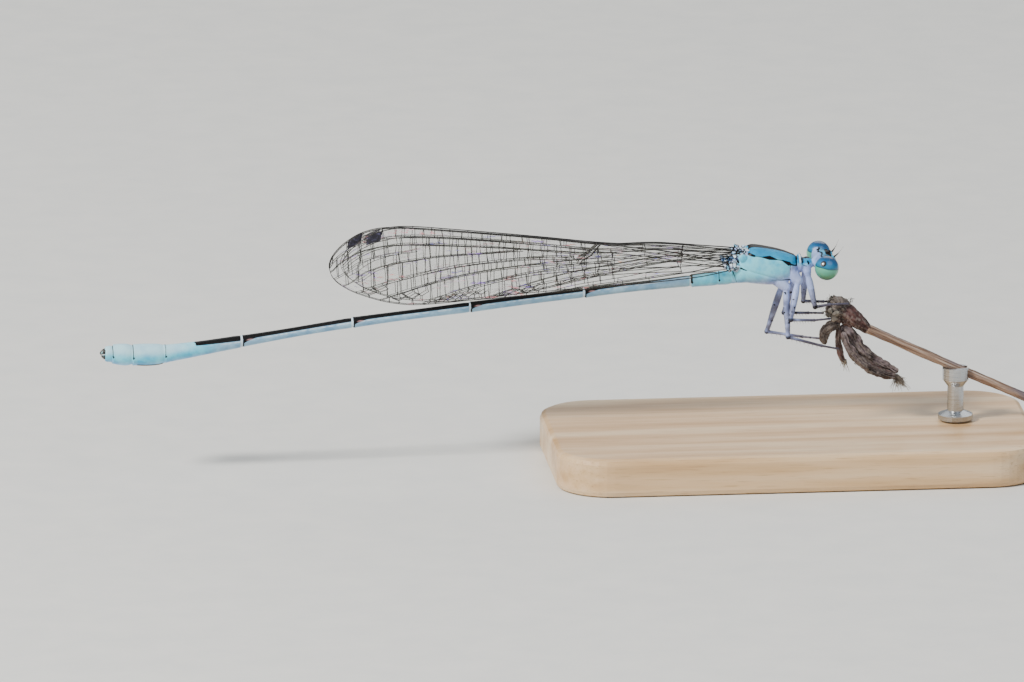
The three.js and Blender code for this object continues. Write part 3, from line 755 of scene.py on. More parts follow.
def leg(bm, name):
    """Joint at the hip, thigh, shin and the three parts of the foot."""
    pair, side_name = name.split("_")
    hip = sided(COXA[pair]["hip"], SIDES[side_name])
    knee, ankle, claw = [Vector(point) for point in LEGS[name]]
    for start, end, shares, radii, steps in (
        (hip, knee, (0, 0.06, 0.12), (0.19, 0.17, 0.14), 10),
        (hip, knee, (0.08, 0.3, 0.6, 0.9, 1), (0.13, 0.18, 0.165, 0.12, 0.13), 30),
        (knee, ankle, (0.02, 0.15, 0.5, 0.9, 1), (0.11, 0.085, 0.075, 0.07, 0.085), 30),
    ):
        limb(bm, [start.lerp(end, share) for share in shares], radii, sides=16, steps=steps)
    for start, end in ((0.02, 0.2), (0.22, 0.46), (0.48, 0.96)):
        limb(bm, [ankle.lerp(claw, start), ankle.lerp(claw, end)], [0.05, 0.062], sides=12, steps=6)


SKIN_VOXEL = 0.041


def body_skin():
    """Head, thorax, abdomen and hips as one closed skin, with the legs set into it."""
    bm = bmesh.new()
    head(bm)
    trunk(bm)
    coxae(bm)
    wing_hinges(bm)
    bm = fused(bm)
    bmesh.ops.smooth_vert(bm, verts=bm.verts, factor=0.5, use_axis_x=True, use_axis_y=True,
                          use_axis_z=True)
    sutures(bm)
    for name in LEGS:
        leg(bm, name)
    return bm


# Grooves of the thorax seen from the side, each from one end to the other
SUTURES = [
    ((0.66, 0.42), (2.3, -0.08)),
    ((1.0, 1.18), (2.52, 0.88)),
    ((2.52, 0.88), (2.94, 0.6)),
    ((2.94, 0.6), (2.9, 0.12)),
    ((2.9, 0.12), (2.2, -0.1)),
    ((3.27, 0.95), (3.27, 0.3)),
    ((-0.02, 0.4), (0.25, -0.45)),
]
GROOVE = {"depth": 0.035, "width": 0.05}


def sutures(bm):
    """Grooves where the plates of the thorax meet."""
    bm.normal_update()
    for vert in bm.verts:
        x, y, z = vert.co
        if -0.2 < x < 3.4 and abs(y) > 0.5 and z > -0.5:
            near = max(bar(vert.co, start, end, 0.0) for start, end in SUTURES)
            share = math.exp(-((near / GROOVE["width"]) ** 2))
            vert.co -= vert.normal * GROOVE["depth"] * share


def fused(bm):
    """One skin round all the shapes in a bmesh."""
    mesh = bpy.data.meshes.new("fused")
    bm.to_mesh(mesh)
    bm.free()
    holder = bpy.data.objects.new("fused", mesh)
    bpy.context.collection.objects.link(holder)
    remesh = holder.modifiers.new("one_skin", "REMESH")
    remesh.mode = "VOXEL"
    remesh.voxel_size = SKIN_VOXEL
    graph = bpy.context.evaluated_depsgraph_get()
    made = bmesh.new()
    made.from_mesh(bpy.data.meshes.new_from_object(holder.evaluated_get(graph)))
    bpy.data.objects.remove(holder)
    return made


# Markings: each is a signed distance in millimetres, above nought inside the mark

def bar(point, start, end, radius, end_radius=None):
    """A tapered bar seen from the side."""
    x, z = point.x - start[0], point.z - start[1]
    dx, dz = end[0] - start[0], end[1] - start[1]
    share = clamp((x * dx + z * dz) / (dx * dx + dz * dz))
    width = mix(radius, radius if end_radius is None else end_radius, share)
    return width - math.hypot(x - share * dx, z - share * dz)


# Black of the thorax's side: both ends of each bar and its half-width there
SIDE_MARKS = [
    ((0.81, 1.25), (1.07, 1.17), 0.075, 0.05),
    ((1.07, 1.17), (1.5, 1.1), 0.018, 0.025),
    ((1.5, 1.1), (1.84, 1.06), 0.035, 0.1),
    ((1.84, 1.06), (2.25, 0.95), 0.1, 0.025),
    ((2.25, 0.95), (2.52, 0.89), 0.02, 0.025),
    ((2.52, 0.89), (2.86, 0.7), 0.035, 0.1),
    ((2.94, 0.68), (2.94, 0.36), 0.022, 0.018),
    ((2.94, 0.66), (3.25, 0.54), 0.045, 0.03),
    ((0.36, 0.54), (0.66, 0.42), 0.05, 0.022),
    ((0.1, 0.5), (0.22, 0.52), 0.04, 0.03),
    ((-0.04, 0.4), (0.2, -0.3), 0.03, 0.012),
    ((1.95, -0.12), (2.92, -0.15), 0.012, 0.03),
    ((3.86, 0.72), (3.9, 0.62), 0.045, 0.05),
    ((3.62, 0.56), (3.8, 0.5), 0.02, 0.02),
    ((3.52, 0.9), (3.56, 0.6), 0.03, 0.02),
]
KNEE_SPOT = 0.137  # how far from the middle of a knee its dark spot reaches
RING = 0.12  # width of the pale ring at the front of a segment of the abdomen
HUMERAL = [(0.6, 1.3), (1.05, 1.17), (1.9, 1.05), (2.5, 0.9), (3.0, 0.62)]


def hinge_nearness(p):
    """One at the middle of a wing root's plates, nought at their edge and below it outside."""
    nearest = -1.0
    for shape in HINGE.values():
        middle, reach = shape["middle"], shape["reach"]
        away = Vector(
            (
                (p.x - middle[0]) / (reach[0] + 0.12),
                (abs(p.y) - middle[1]) / (reach[1] + 0.25),
                (p.z - middle[2]) / (reach[2] + 0.14),
            )
        )
        nearest = max(nearest, 1 - away.length)
    return nearest


def thorax_black(p):
    marks = [min(0.38 - 0.08 * (p.x - 1) - abs(p.y), p.x - 0.8, 3.2 - p.x, p.z - 0.6)]
    marks.append(min(0.3 - abs(p.y), 0.05 - abs(p.x - 3.3), p.z - 0.6))
    marks.append(min(0.03 - abs(p.x - 3.6), p.z - 0.66))
    marks.append(min(0.04 - abs(p.x - 3.27), p.z - 0.5))
    marks.append(min(0.2 - abs(p.y), 0.3 - abs(p.x - 3.78), p.z - 0.82))
    marks += [bar(p, *mark) for mark in SIDE_MARKS if abs(p.y) > 0.25]
    near = hinge_nearness(p)
    if near > 0:
        first, second = noise.voronoi(p * 5.2)[0][:2]
        marks.append(min(0.036 - (second - first) / 5.2, 0.3 * near))
    return max(marks)


def abdomen_marks(p):
    """The black and the pink of the abdomen: a stripe along the back and marks at the joints."""
    depth = abdomen_depth(p.x)
    height = (p.z - spine_at(p.x)) / depth
    if p.x > ABDOMEN[6][0]:
        waist = mix(0.9, 0.42, ease(2.0, 8.0, -p.x))
    else:
        waist = mix(0.3, 0.62, clamp((ABDOMEN[6][0] - p.x) / 2.4))
    ragged = 0.12 * noise.noise(Vector((0, 9 * p.y, 9 * p.z)))
    black = min((height - waist) * depth, p.x + 27.65 + ragged, -0.8 - p.x)
    pink = -1.0
    for index, row in enumerate(ABDOMEN[1:], start=1):
        ahead = p.x - row[0]
        if not -0.3 < ahead < 0.9:
            continue
        if 2 < index < 7:
            share = clamp(ahead / 0.7)
            low = mix(-0.45, waist, share**0.5)
            if ahead > -0.02:
                black = max(black, min((height - low) * depth, ahead + 0.02))
                black = max(black, min(0.04 - abs(ahead - 0.02), (height + 0.85) * depth))
                pink = 0.035 - math.hypot((ahead - 0.34) * 0.2, (height - 0.3) * depth)
            elif ahead > -RING:
                black = max(-0.05, -ahead - RING)
        else:
            line = min((0.05 if index == 2 else 0.022) - abs(ahead), (height + 0.3) * depth)
            dot = 0.055 - math.hypot(ahead - 0.02, (height + 0.12) * depth)
            black = max(black, line, dot)
    if p.x < -29.3:
        black = max(black, min((-0.78 - height) * depth, 0.7 - abs(p.x + 29.95)))
    return black, pink, height, waist


def abdomen_depth(x):
    for index, row in enumerate(ABDOMEN):
        end = segment_end(index)
        if x >= end or index == len(ABDOMEN) - 1:
            return segment_depth(index, clamp((row[0] - x) / (row[0] - end)))


HEAD_SPOTS = [(0.36, 0), (0.2, 0.19), (0.2, -0.19)]  # the three small eyes between the big ones


def head_black(q):
    marks = [0.12 - (q - Vector((x, y, 0.5))).length for x, y in HEAD_SPOTS]
    marks.append(min(0.16 - abs(q.x - 0.24), q.z - 0.3, 0.42 - abs(q.y)))
    wave = 0.06 * math.sin(7 * q.y)
    marks.append(min(0.05 - abs(q.x + 0.14 + wave), q.z - 0.2, 0.85 - abs(q.y)))
    marks.append(min(0.04 - abs(abs(q.y) - 0.5), 0.25 - abs(q.x), q.z - 0.25))
    marks.append(min(0.03 - abs(q.z + 0.33), q.x - 0.45))
    marks.append(0.06 - math.hypot(q.x + 0.3, abs(q.y) - 0.62, q.z - 0.1))
    return max(marks)


def head_paint(q):
    return {
        "black": head_black(q),
        "blue": 0.9 * ease(0.1, 0.34, q.z) * ease(-0.35, -0.15, q.x),
        "lilac": 0.9 * (1 - ease(-0.26, -0.06, q.x)),
    }


def hinge_paint(p):
    return {
        "black": thorax_black(p),
        "lilac": clamp(0.7 + 1.2 * noise.noise(p * 5)),
        "pale_and_painted_highlight": clamp(0.35 + 1.3 * noise.noise(p * 6 + Vector((9, 0, 0)))),
    }


def abdomen_paint(p):
    black, pink, height, waist = abdomen_marks(p)
    grey = ease(1.6, 2.6, -p.x) * (1 - ease(26.0, 27.6, -p.x))
    # A painted highlight: a broken white line along each side, just under the black stripe
    rim = 1 - clamp(abs(height - waist + 0.2) / 0.14)
    pale_and_painted_highlight = 0.9 * rim * grey * clamp(0.6 + 1.5 * noise.noise(p * 5))
    pale_and_painted_highlight = max(pale_and_painted_highlight, 0.45 * ease(27, 29, -p.x) * ease(-0.2, 0.5, height))
    if any(-RING < p.x - row[0] < -0.02 for row in ABDOMEN[2:7]):
        pale_and_painted_highlight = 0.6
    return {
        "black": black,
        "pink": ease(-0.01, 0.02, pink) * 0.8,
        "grey": grey,
        "pale_and_painted_highlight": pale_and_painted_highlight,
        "lilac": 0.5 * (1 - ease(-0.9, -0.3, height)),
    }


def thorax_paint(p):
    lilac = 1 - ease(-0.45, 0.3, p.z - 0.15 * (p.x - 1.5))
    if p.x > 2.9:
        lilac = max(lilac, 1 - ease(0.45, 0.7, p.z))
    return {
        "black": thorax_black(p),
        "blue": ease(-0.02, 0.05, p.z - hermite(HUMERAL, p.x)[0]),
        "lilac": lilac,
        "pale_and_painted_highlight": 0.7 * ease(0.6, 0.8, p.z) if abs(p.x - 3.49) < 0.07 else 0.0,
    }


def leg_paint(p):
    shin = ease(2.9, 3.9, p.x - 0.3 * (p.z + 3))
    # tan is the legs' darker colour towards the foot, and painted shade on the thighs, deeper the lower they
    # hang
    thigh = 0.7 * ease(0.7, 1.6, -p.z) * clamp(0.8 + noise.noise(p * 4))
    knee = min((p - Vector(joints[0])).length for joints in LEGS.values())
    return {
        "black": max(0.2 * (noise.noise(p * 8) - 0.46), KNEE_SPOT - knee),
        "dark_leg_and_painted_shade": mix(thigh, 0.92, shin),
        "lilac": 1,
    }


LEGS_TOP = -0.62  # height below which the skin in front of the abdomen is leg


def colour_body(made):
    """Writes the markings of the skin as numbers at its points."""
    mesh = made.data
    layers = {name: [] for name in ("black", "blue", "lilac", "grey", "dark_leg_and_painted_shade", "pale_and_painted_highlight", "pink")}
    to_body, to_head = TO_ROW.inverted(), HEAD.inverted()
    for vert in mesh.vertices:
        p = to_body @ vert.co
        if p.x > 4.12 and p.z > -0.2:
            paint = head_paint(to_head @ p)
        elif p.z > LEGS_TOP and hinge_nearness(p) > 0:
            paint = hinge_paint(p)
        elif p.x < -0.05:
            paint = abdomen_paint(p)
        elif p.z > LEGS_TOP:
            paint = thorax_paint(p)
        else:
            paint = leg_paint(p)
        for name, values in layers.items():
            values.append(paint.get(name, 0.0))
    for name, values in layers.items():
        mesh.attributes.new(name, "FLOAT", "POINT").data.foreach_set("value", values)


CLASPERS = {  # points beside the middle plane, and radii, of the upper and lower clasper
    "upper": ([(-32.1, 0.16, -3.18), (-32.32, 0.17, -3.2), (-32.5, 0.11, -3.3)], [0.12, 0.1, 0.04]),
    "lower": ([(-32.1, 0.13, -3.5), (-32.3, 0.13, -3.5), (-32.44, 0.1, -3.44)], [0.11, 0.08, 0.03]),
}


def claspers():
    bm = bmesh.new()
    for side in SIDES.values():
        for points, radii in CLASPERS.values():
            limb(bm, [sided(point, side) for point in points], radii, sides=14, steps=14)
    return piece("claspers", bm, CLASPER, "dark_cuticle")


def leg_bristles():
    """Two rows of stiff bristles down each thigh and shin."""
    bm = bmesh.new()
    paths = []
    for name, (knee, ankle, _) in LEGS.items():
        pair, side_name = name.split("_")
        hip = sided(COXA[pair]["hip"], SIDES[side_name])
        knee, ankle = Vector(knee), Vector(ankle)
        for start, end, first, radius, count, reach in (
            (hip, knee, 0.35, 0.13, 6, 0.1),
            (knee, ankle, 0.1, 0.07, 7, 0.16),
        ):
            along = (end - start).normalized()
            across = along.cross(LATERAL).normalized()
            for k in range(count):
                for row in (-1, 1):
                    root = start.lerp(end, mix(first, 0.95, (k + 0.3 * rng.random()) / count))
                    out = (across * rng.uniform(0.8, 1) * (1 if start is hip else -1)
                           + LATERAL * row * 0.7).normalized()
                    tip = root + out * (radius + reach) + along * 0.6 * reach
                    paths.append([(root + out * 0.6 * radius, 0.009), (root.lerp(tip, 0.6), 0.006),
                                  (tip, 0.002)])
    strands(bm, paths, 0)
    return piece("leg_bristles", bm, DARK, "dark_cuticle")


# Wings. The plane is how far a wing stands from the insect's middle, the stigma its dark cell's
# shares of the span. Both edges of the outline run from the root to the tip.

WINGS = {
    "fore": {
        "plane": 0.12,
        "stigma": (0.882, 0.918),
        "lead": [(0.3, 1.36), (-3.7, 1.79), (-6.65, 1.81), (-9.9, 2.2), (-14, 2.64), (-17.4, 2.93),
                 (-18.9, 2.74), (-19.9, 2.2), (-20.5, 1.6), (-20.72, 1.15), (-20.74, 0.9)],
        "trail": [(0.3, 1.1), (-1.6, 0.95), (-3.7, 0.75), (-6.65, 0.2), (-10.9, -0.65), (-15.5, -1.1),
                  (-17.5, -1), (-19.2, -0.5), (-20.15, 0), (-20.6, 0.45), (-20.74, 0.9)],
    },
    "hind": {
        "plane": 0.64,
        "stigma": (0.865, 0.903),
        "lead": [(0.0, 0.76), (-3.7, 1.5), (-6.9, 1.86), (-9.9, 2.24), (-14, 2.7), (-16.8, 2.95),
                 (-18.2, 2.78), (-19.2, 2.3), (-19.8, 1.75), (-20.08, 1.3), (-20.1, 1.05)],
        "trail": [(0.0, 0.5), (-0.7, 0.32), (-1.8, 0.1), (-3.3, -0.08), (-5.8, -0.34), (-8.5, -0.58),
                  (-10.9, -0.76), (-13.5, -0.93), (-15.5, -0.95), (-17.5, -0.7), (-18.8, -0.25),
                  (-19.6, 0.25), (-20, 0.7), (-20.1, 1.05)],
    },
}
NODUS = 0.33  # share of the span where the leading edge is notched
PLEAT = 0.045  # height of a ridge over the plane of the wing
DROP = 0.11  # how far the far outer wing hangs below, and the near one above, their middle
OUTLINE_STEPS = 200

# Each long vein: ridge or furrow, radius at its start and end, then points of share of the
# span and share of the chord behind the leading edge.
LONG_VEINS = {
    "costa": (0, 0.03, 0.024, [(0, 0), (0.5, 0), (1, 0)]),
    "subcosta": (-1, 0.016, 0.016, [(0, 0.22), (0.15, 0.14), (0.28, 0.05), (NODUS, 0.0)]),
    "radius_front": (1, 0.024, 0.02, [(0, 0.42), (0.12, 0.3), (0.22, 0.22), (NODUS, 0.17), (0.5, 0.12),
                                       (0.7, 0.105), (0.85, 0.14), (0.92, 0.17), (0.97, 0.26), (1, 0.5)]),
    "stem": (-1, 0.024, 0.02, [(0, 0.5), (0.06, 0.46), (0.13, 0.44)]),
    "radius_1": (-1, 0.018, 0.018, [(0.13, 0.34), (0.22, 0.32), (NODUS, 0.29), (0.5, 0.23), (0.7, 0.215),
                                     (0.85, 0.26), (0.95, 0.42), (0.985, 0.8), (0.99, 1)]),
    "between_1": (1, 0.016, 0.014, [(0.78, 0.32), (0.9, 0.48), (0.955, 0.8), (0.97, 1)]),
    "radius_2": (-1, 0.018, 0.015, [(0.52, 0.25), (0.6, 0.31), (0.75, 0.41), (0.88, 0.62), (0.945, 1)]),
    "between_2": (1, 0.02, 0.016, [(0.385, 0.38), (0.45, 0.37), (0.57, 0.43), (0.7, 0.54), (0.84, 0.77),
                                    (0.91, 1)]),
    "radius_3": (-1, 0.02, 0.016, [(0.3, 0.44), (0.4, 0.47), (0.57, 0.56), (0.7, 0.69), (0.8, 0.87),
                                    (0.85, 1)]),
    "media_front": (1, 0.023, 0.016, [(0.13, 0.52), (0.3, 0.57), (0.45, 0.63), (0.6, 0.77), (0.75, 1)]),
    "media_rear": (-1, 0.023, 0.016, [(0.13, 0.7), (0.3, 0.72), (0.45, 0.81), (0.6, 1)]),
    "cubitus": (1, 0.02, 0.018, [(0, 0.75), (0.13, 0.74), (0.25, 0.86), (0.38, 0.93), (0.44, 1)]),
    "hind_margin": (0, 0.03, 0.016, [(0, 1), (0.5, 1), (1, 1)]),
}
# Zigzag veins: both ends as shares of the span, the vein above and how far below it they run
ZIGZAGS = {
    "zig_1": (0.47, 0.57, "media_rear", 0.5),
    "zig_2": (0.61, 0.72, "media_front", 0.5),
    "zig_3": (0.755, 0.82, "radius_3", 0.5),
    "zig_4": (0.855, 0.895, "between_2", 0.5),
}
# Struts across a wing: share of the span, share of the chord and radius
ARC = [(0.13, 0.3, 0.025), (0.134, 0.5, 0.025), (0.13, 0.72, 0.02)]
NOTCH = [(0, 0, 0.05), (0.014, 0.16, 0.04), (0.024, 0.28, 0.045), (0.045, 0.38, 0.04), (0.052, 0.49, 0.03)]
SLACK = 1e-6  # rounding that a share may have past the end of a vein
STEPS_PER_SPAN = 110
CELL = 0.033  # share of the span between cross-veins
ZIG = 0.022  # how far a corner of a zigzag stands from its line, as a share of the chord
CROSS_RADIUS = 0.02
WIDEST = 3.3  # chord of a wing at its widest
SHORTEST = 0.06  # length of the shortest cross-vein


def vein_chord(name, u):
    """Share of the chord of a long vein at a share of the span, or None where it isn't."""
    if name in ZIGZAGS:
        start, end, above, share = ZIGZAGS[name]
        return mix(vein_chord(above, u), 1, share) if start <= u <= end else None
    knots = LONG_VEINS[name][3]
    if not knots[0][0] - SLACK <= u <= knots[-1][0] + SLACK:
        return None
    return hermite(knots, u)[0]


class Wing:
    """The surface of one wing: its outline, its pleats and where it leaves the body."""

    def __init__(self, pair, side):
        shape = WINGS[pair]
        self.side = side
        self.plane = shape["plane"]
        self.root = WING_ROOT[pair]["to"][1]
        self.stigma = shape["stigma"]
        # Seen from the photo's side and a little above, the outer pair covers the inner one.
        self.drop = -side * DROP * (self.plane > 0.5)
        self.lead = resample(shape["lead"], OUTLINE_STEPS)
        self.trail = resample(shape["trail"], OUTLINE_STEPS)

    def edge(self, line, u):
        place = clamp(u) * OUTLINE_STEPS
        k = min(int(place), OUTLINE_STEPS - 1)
        return line[k].lerp(line[k + 1], place - k)

    def pleat(self, u, v):
        knots = [(0.0, 0.0)]
        for name, (sign, *_, points) in LONG_VEINS.items():
            chord = vein_chord(name, u)
            if sign and chord is not None and 0.01 < chord < 0.99:
                fade = ease(points[0][0] - 0.001, points[0][0] + 0.06, u)
                knots.append((chord, sign * fade))
        knots.append((1.0, 0.0))
        knots.sort()
        for (a, low), (b, high) in zip(knots, knots[1:]):
            if v <= b:
                return PLEAT * mix(low, high, (v - a) / max(b - a, 1e-6))
        return 0.0

    def at(self, u, v, lift=0.0):
        flat = self.edge(self.lead, u).lerp(self.edge(self.trail, u), v)
        near = mix(self.root, self.plane, ease(0, 0.12, u))
        width = ease(1.0, 0.97, u) if u > 0.97 else 1.0
        drop = self.drop * ease(0.05, 0.4, u)
        return Vector((flat.x, self.side * (near + lift + self.pleat(u, v) * width), flat.y + drop))


def long_vein_path(wing, name):
    _, first, last, knots = LONG_VEINS[name]
    start, end = knots[0][0], knots[-1][0]
    steps = max(int((end - start) * STEPS_PER_SPAN), 6)
    path = []
    for i in range(steps + 1):
        u = mix(start, end, i / steps)
        path.append((wing.at(u, clamp(vein_chord(name, u))), mix(first, last, i / steps)))
    return path


def zigzag_places(name):
    """Corners of a zigzag vein: share of the span, share of the chord, and high or low."""
    start, end, *_ = ZIGZAGS[name]
    count = max(int((end - start) / (CELL * 0.42)), 2)
    places = []
    for i in range(count + 1):
        u = mix(start, end, i / count)
        chord = vein_chord(name, u)
        if chord is not None:
            high = i % 2 == 0
            places.append((u, chord + (-ZIG if high else ZIG), high))
    return places


def cross_vein_spans(name, index, rand):
    """Shares of the span where cross-veins leave a long vein towards the next one behind it."""
    if name == "subcosta":
        return [0.13, 0.22]
    spans, start, end, step = [], LONG_VEINS[name][3][0][0], LONG_VEINS[name][3][-1][0], CELL
    if name == "costa":
        spans, start, step = [0.13, 0.22], NODUS, 1.4 * CELL
    elif name in ("stem", "cubitus"):
        start, step = max(start, 0.16), 2 * CELL
    else:
        start = max(start, 0.27)
    shift = (0.22 if index % 2 else 0) - (start / step) % 1
    count = int((end - start) / step)
    return spans + [start + step * (k + shift + rand.uniform(-0.07, 0.07)) for k in range(1, count + 1)]


def cross_veins(wing, rand):
    """Short veins between each long vein and the next one behind it."""
    names = list(LONG_VEINS) + list(ZIGZAGS)
    corners = {name: zigzag_places(name) for name in ZIGZAGS}
    paths = []
    for index, name in enumerate(names):
        if name == "hind_margin":
            continue
        if name in ZIGZAGS:
            spans = [u for u, _, high in corners[name] if not high]
        else:
            spans = cross_vein_spans(name, index, rand)
        for u in spans:
            paths.extend(one_cross_vein(wing, name, names, corners, u, rand))
    return paths


def one_cross_vein(wing, name, names, corners, u, rand):
    """The vein behind a place on a long one, in a list, or none where there is no room."""
    top = vein_chord(name, u)
    if top is None or u > 0.985:
        return []
    below = [(vein_chord(other, u), other) for other in names if other != name]
    below = [(chord, other) for chord, other in below if chord is not None and chord > top + 0.004]
    if not below:
        return []
    bottom, other = min(below)
    end_u = u - rand.uniform(-0.003, 0.003)
    if name in ZIGZAGS:
        top += ZIG
    if other in ZIGZAGS:
        gap, (end_u, bottom, _) = min((abs(corner[0] - u), corner) for corner in corners[other] if corner[2])
        if gap > CELL:
            return []
    if (bottom - top) * WIDEST < SHORTEST:
        return []
    if other not in ZIGZAGS and vein_chord(other, end_u) is not None:
        bottom = vein_chord(other, end_u)
    bottom = clamp(bottom)
    middle = (mix(u, end_u, 0.5), mix(top, bottom, 0.5))
    return [[
        (wing.at(u, top), CROSS_RADIUS),
        (wing.at(*middle), 0.9 * CROSS_RADIUS),
        (wing.at(end_u, bottom), CROSS_RADIUS),
    ]]


FILM = {"columns": 150, "rows": 60}  # corners of the membrane, less one, each way


def wing_membrane(bm, wing):
    columns, rows = FILM["columns"], FILM["rows"]
    sheet(bm, columns, rows, lambda i, j: wing.at(i / columns, j / rows))


def mark_membrane(made, side):
    """Gives each point its share of the span and of the chord, which the painted glint streaks follow."""
    columns, rows = FILM["columns"], FILM["rows"]
    count = len(made.data.vertices)
    layers = {
        "span": [(k % (columns + 1)) / columns for k in range(count)],
        "chord": [(k // (columns + 1)) / rows for k in range(count)],
        "side": [float(side)] * count,
    }
    for name, values in layers.items():
        made.data.attributes.new(name, "FLOAT", "POINT").data.foreach_set("value", values)


def stigma(bm, wing):
    """The thick dark cell, domed on both faces."""
    start, end = wing.stigma
    columns, rows = 12, 6

    def place(i, j, lift):
        along, across = i / columns, j / rows
        swell = min(1, 6 * min(along, 1 - along)) * min(1, 4 * min(across, 1 - across))
        u = mix(start, end, along) + 0.006 * across
        return wing.at(u, 0.14 * across, lift * (0.012 + 0.025 * swell**0.5))

    sheet(bm, columns, rows, lambda i, j: place(i, j, 1))
    sheet(bm, columns, rows, lambda i, j: place(i, j, -1))


def wing_pieces(pair, side_name):
    name = "wing_" + pair + "_" + side_name
    wing = Wing(pair, SIDES[side_name])
    film = bmesh.new()
    wing_membrane(film, wing)
    mark_membrane(piece(name + "_membrane", film, MEMBRANE, "wing", name), len(name))
    paths = [long_vein_path(wing, vein) for vein in LONG_VEINS]
    for zig in ZIGZAGS:
        paths.append([(wing.at(u, clamp(v)), CROSS_RADIUS) for u, v, _ in zigzag_places(zig)])
    paths += cross_veins(wing, random.Random(name))
    paths.append([(wing.at(u, v), radius) for u, v, radius in ARC])
    paths.append([(wing.at(NODUS + u, v), radius) for u, v, radius in NOTCH])
    veins = bmesh.new()
    strands(veins, paths, 1)
    piece(name + "_veins", veins, VEIN, "dark_cuticle", name)
    pad = bmesh.new()
    stigma(pad, wing)
    piece(name + "_stigma", pad, STIGMA, "dark_cuticle", name)


# Perch: a dry stalk, the calyx on its end, the crumpled crown and the hanging florets. Each roll
# has the solid it stands for, its material, how deep its folds are and points with a radius each.
ROLLS = {
    "dry_stalk_grooved": (
        "perch_stalk", STRAW, 0.045,
        [(6.98, 0, -2.99, 0.23), (7.4, 0, -3.2, 0.24), (11.1, 0, -4.96, 0.225), (15.75, 0, -7.1, 0.21)],
        {"steps": 200, "folds": 2.2, "waves": 0.5, "slot": "dry_stalk"},
    ),
    "calyx_wrinkled": (
        "perch_calyx", CALYX, 0.1,
        [(5.55, 0, -1.9, 0.34), (5.75, 0, -2.0, 0.42), (6.1, 0, -2.24, 0.44), (6.6, 0, -2.66, 0.36),
         (6.95, 0, -2.96, 0.25), (7.14, 0, -3.06, 0.23)],
        {"folds": 2.6},
    ),
    "bract_curled": (
        "perch_bract", PETAL, 0.12,
        [(5.6, 0, -2.7, 0.18), (5.3, 0, -2.78, 0.24), (5.05, 0, -2.9, 0.27), (4.8, 0, -3.17, 0.24),
         (4.78, 0, -3.5, 0.19), (4.86, 0, -3.8, 0.06)],
        {},
    ),
    "floret_short": (
        "perch_floret_short", CALYX, 0.08,
        [(5.56, 0, -2.95, 0.13), (5.52, 0, -3.4, 0.15), (5.53, 0, -3.85, 0.15), (5.67, 0, -4.4, 0.14),
         (5.83, 0, -4.78, 0.06)],
        {},
    ),
    "floret_split": (
        "perch_floret_short", PETAL, 0.08,
        [(5.72, -0.08, -3.1, 0.12), (5.8, -0.1, -3.5, 0.13), (5.96, -0.1, -3.9, 0.13),
         (6.26, -0.1, -4.42, 0.15), (6.44, -0.1, -4.68, 0.08)],
        {},
    ),
    "floret_upper": (
        "perch_floret_upper", FLORET, 0.14,
        [(5.8, 0.1, -2.75, 0.26), (5.97, 0.1, -3.08, 0.32), (6.33, 0.1, -3.57, 0.31),
         (6.65, 0.1, -3.99, 0.27), (7.07, 0.1, -4.42, 0.25), (7.54, 0.1, -4.75, 0.24),
         (8.07, 0.1, -5.05, 0.2), (8.62, 0.1, -5.4, 0.13)],
        {"steps": 110},
    ),
    "floret_lower": (
        "perch_floret_lower", FLORET, 0.12,
        [(5.75, -0.2, -3.1, 0.15), (5.88, -0.24, -3.6, 0.17), (6.18, -0.26, -4.1, 0.18),
         (6.59, -0.24, -4.6, 0.2), (7.0, -0.24, -4.98, 0.21), (7.48, -0.2, -5.26, 0.21),
         (8.0, -0.12, -5.46, 0.19), (8.5, -0.05, -5.58, 0.12)],
        {"steps": 110},
    ),
    # A thin dark roll deep in the groove between the upper and lower florets: painted shade, its dark
    # material standing for the groove's shadow
    "floret_fold": (
        "perch_floret_upper", CALYX, 0.04,
        [(6.0, 0, -3.3, 0.14), (6.35, 0, -3.9, 0.14), (6.85, 0, -4.5, 0.12), (7.3, 0, -4.93, 0.11),
         (7.9, 0, -5.22, 0.1), (8.4, 0, -5.45, 0.06)],
        {},
    ),
}
ROLL_SIDES = 48


def crumpled(name, solid, material, depth, points, steps=70, folds=1.9, waves=1.3, slot="withered_flower"):
    """A shrivelled roll: its folds run along it, and finer wrinkles cross them."""
    bm = bmesh.new()
    path = resample(points, steps)
    reach = 0.0
    rings = []
    for i, (x, y, z, radius) in enumerate(path):
        ahead, behind = path[min(i + 1, steps)], path[max(i - 1, 0)]
        reach += (path[i] - behind).xyz.length
        end = min(1.0, (i + 0.3) / 3, (steps - i + 0.3) / 3) ** 0.6
        centre = Vector((x, y, z))
        section = ring(centre, (ahead - behind).xyz, radius * end, radius * end, sides=ROLL_SIDES)
        for k, point in enumerate(section):
            angle = 2 * math.pi * k / ROLL_SIDES
            where = Vector((folds * math.cos(angle), folds * math.sin(angle), waves * reach + len(name)))
            deep = noise.fractal(where, 0.8, 2.0, 3)
            crease = 1 - abs(noise.noise(where * 0.9 + Vector((5, 5, 5)))) * 2
            fine = noise.noise(Vector((where.x * 2.5, where.y * 2.5, 9 * reach)))
            move = depth * (deep - 0.9 * max(0, crease - 0.55)) + 0.06 * depth * fine
            section[k] = point + (point - centre).normalized() * move * end
        rings.append(section)
    tube(bm, rings)
    return piece(name, bm, material, slot, solid)


def calyx_foot():
    """Wrinkled lumps where the florets and the bract leave the calyx."""
    bm = bmesh.new()
    middle, joint = Vector((5.95, 0, -2.6)), Vector((5.5, 0, -2.5))
    roughen(blob(bm, middle, (0.44, 0.32, 0.27), turn=(0, 0.6, 0), detail=48), 0.16, 0.3, 8.0, middle)
    roughen(blob(bm, joint, (0.3, 0.26, 0.24), detail=36), 0.14, 0.25, 2.0, joint)
    return piece("calyx_foot", bm, CALYX, "withered_flower", "perch_calyx")


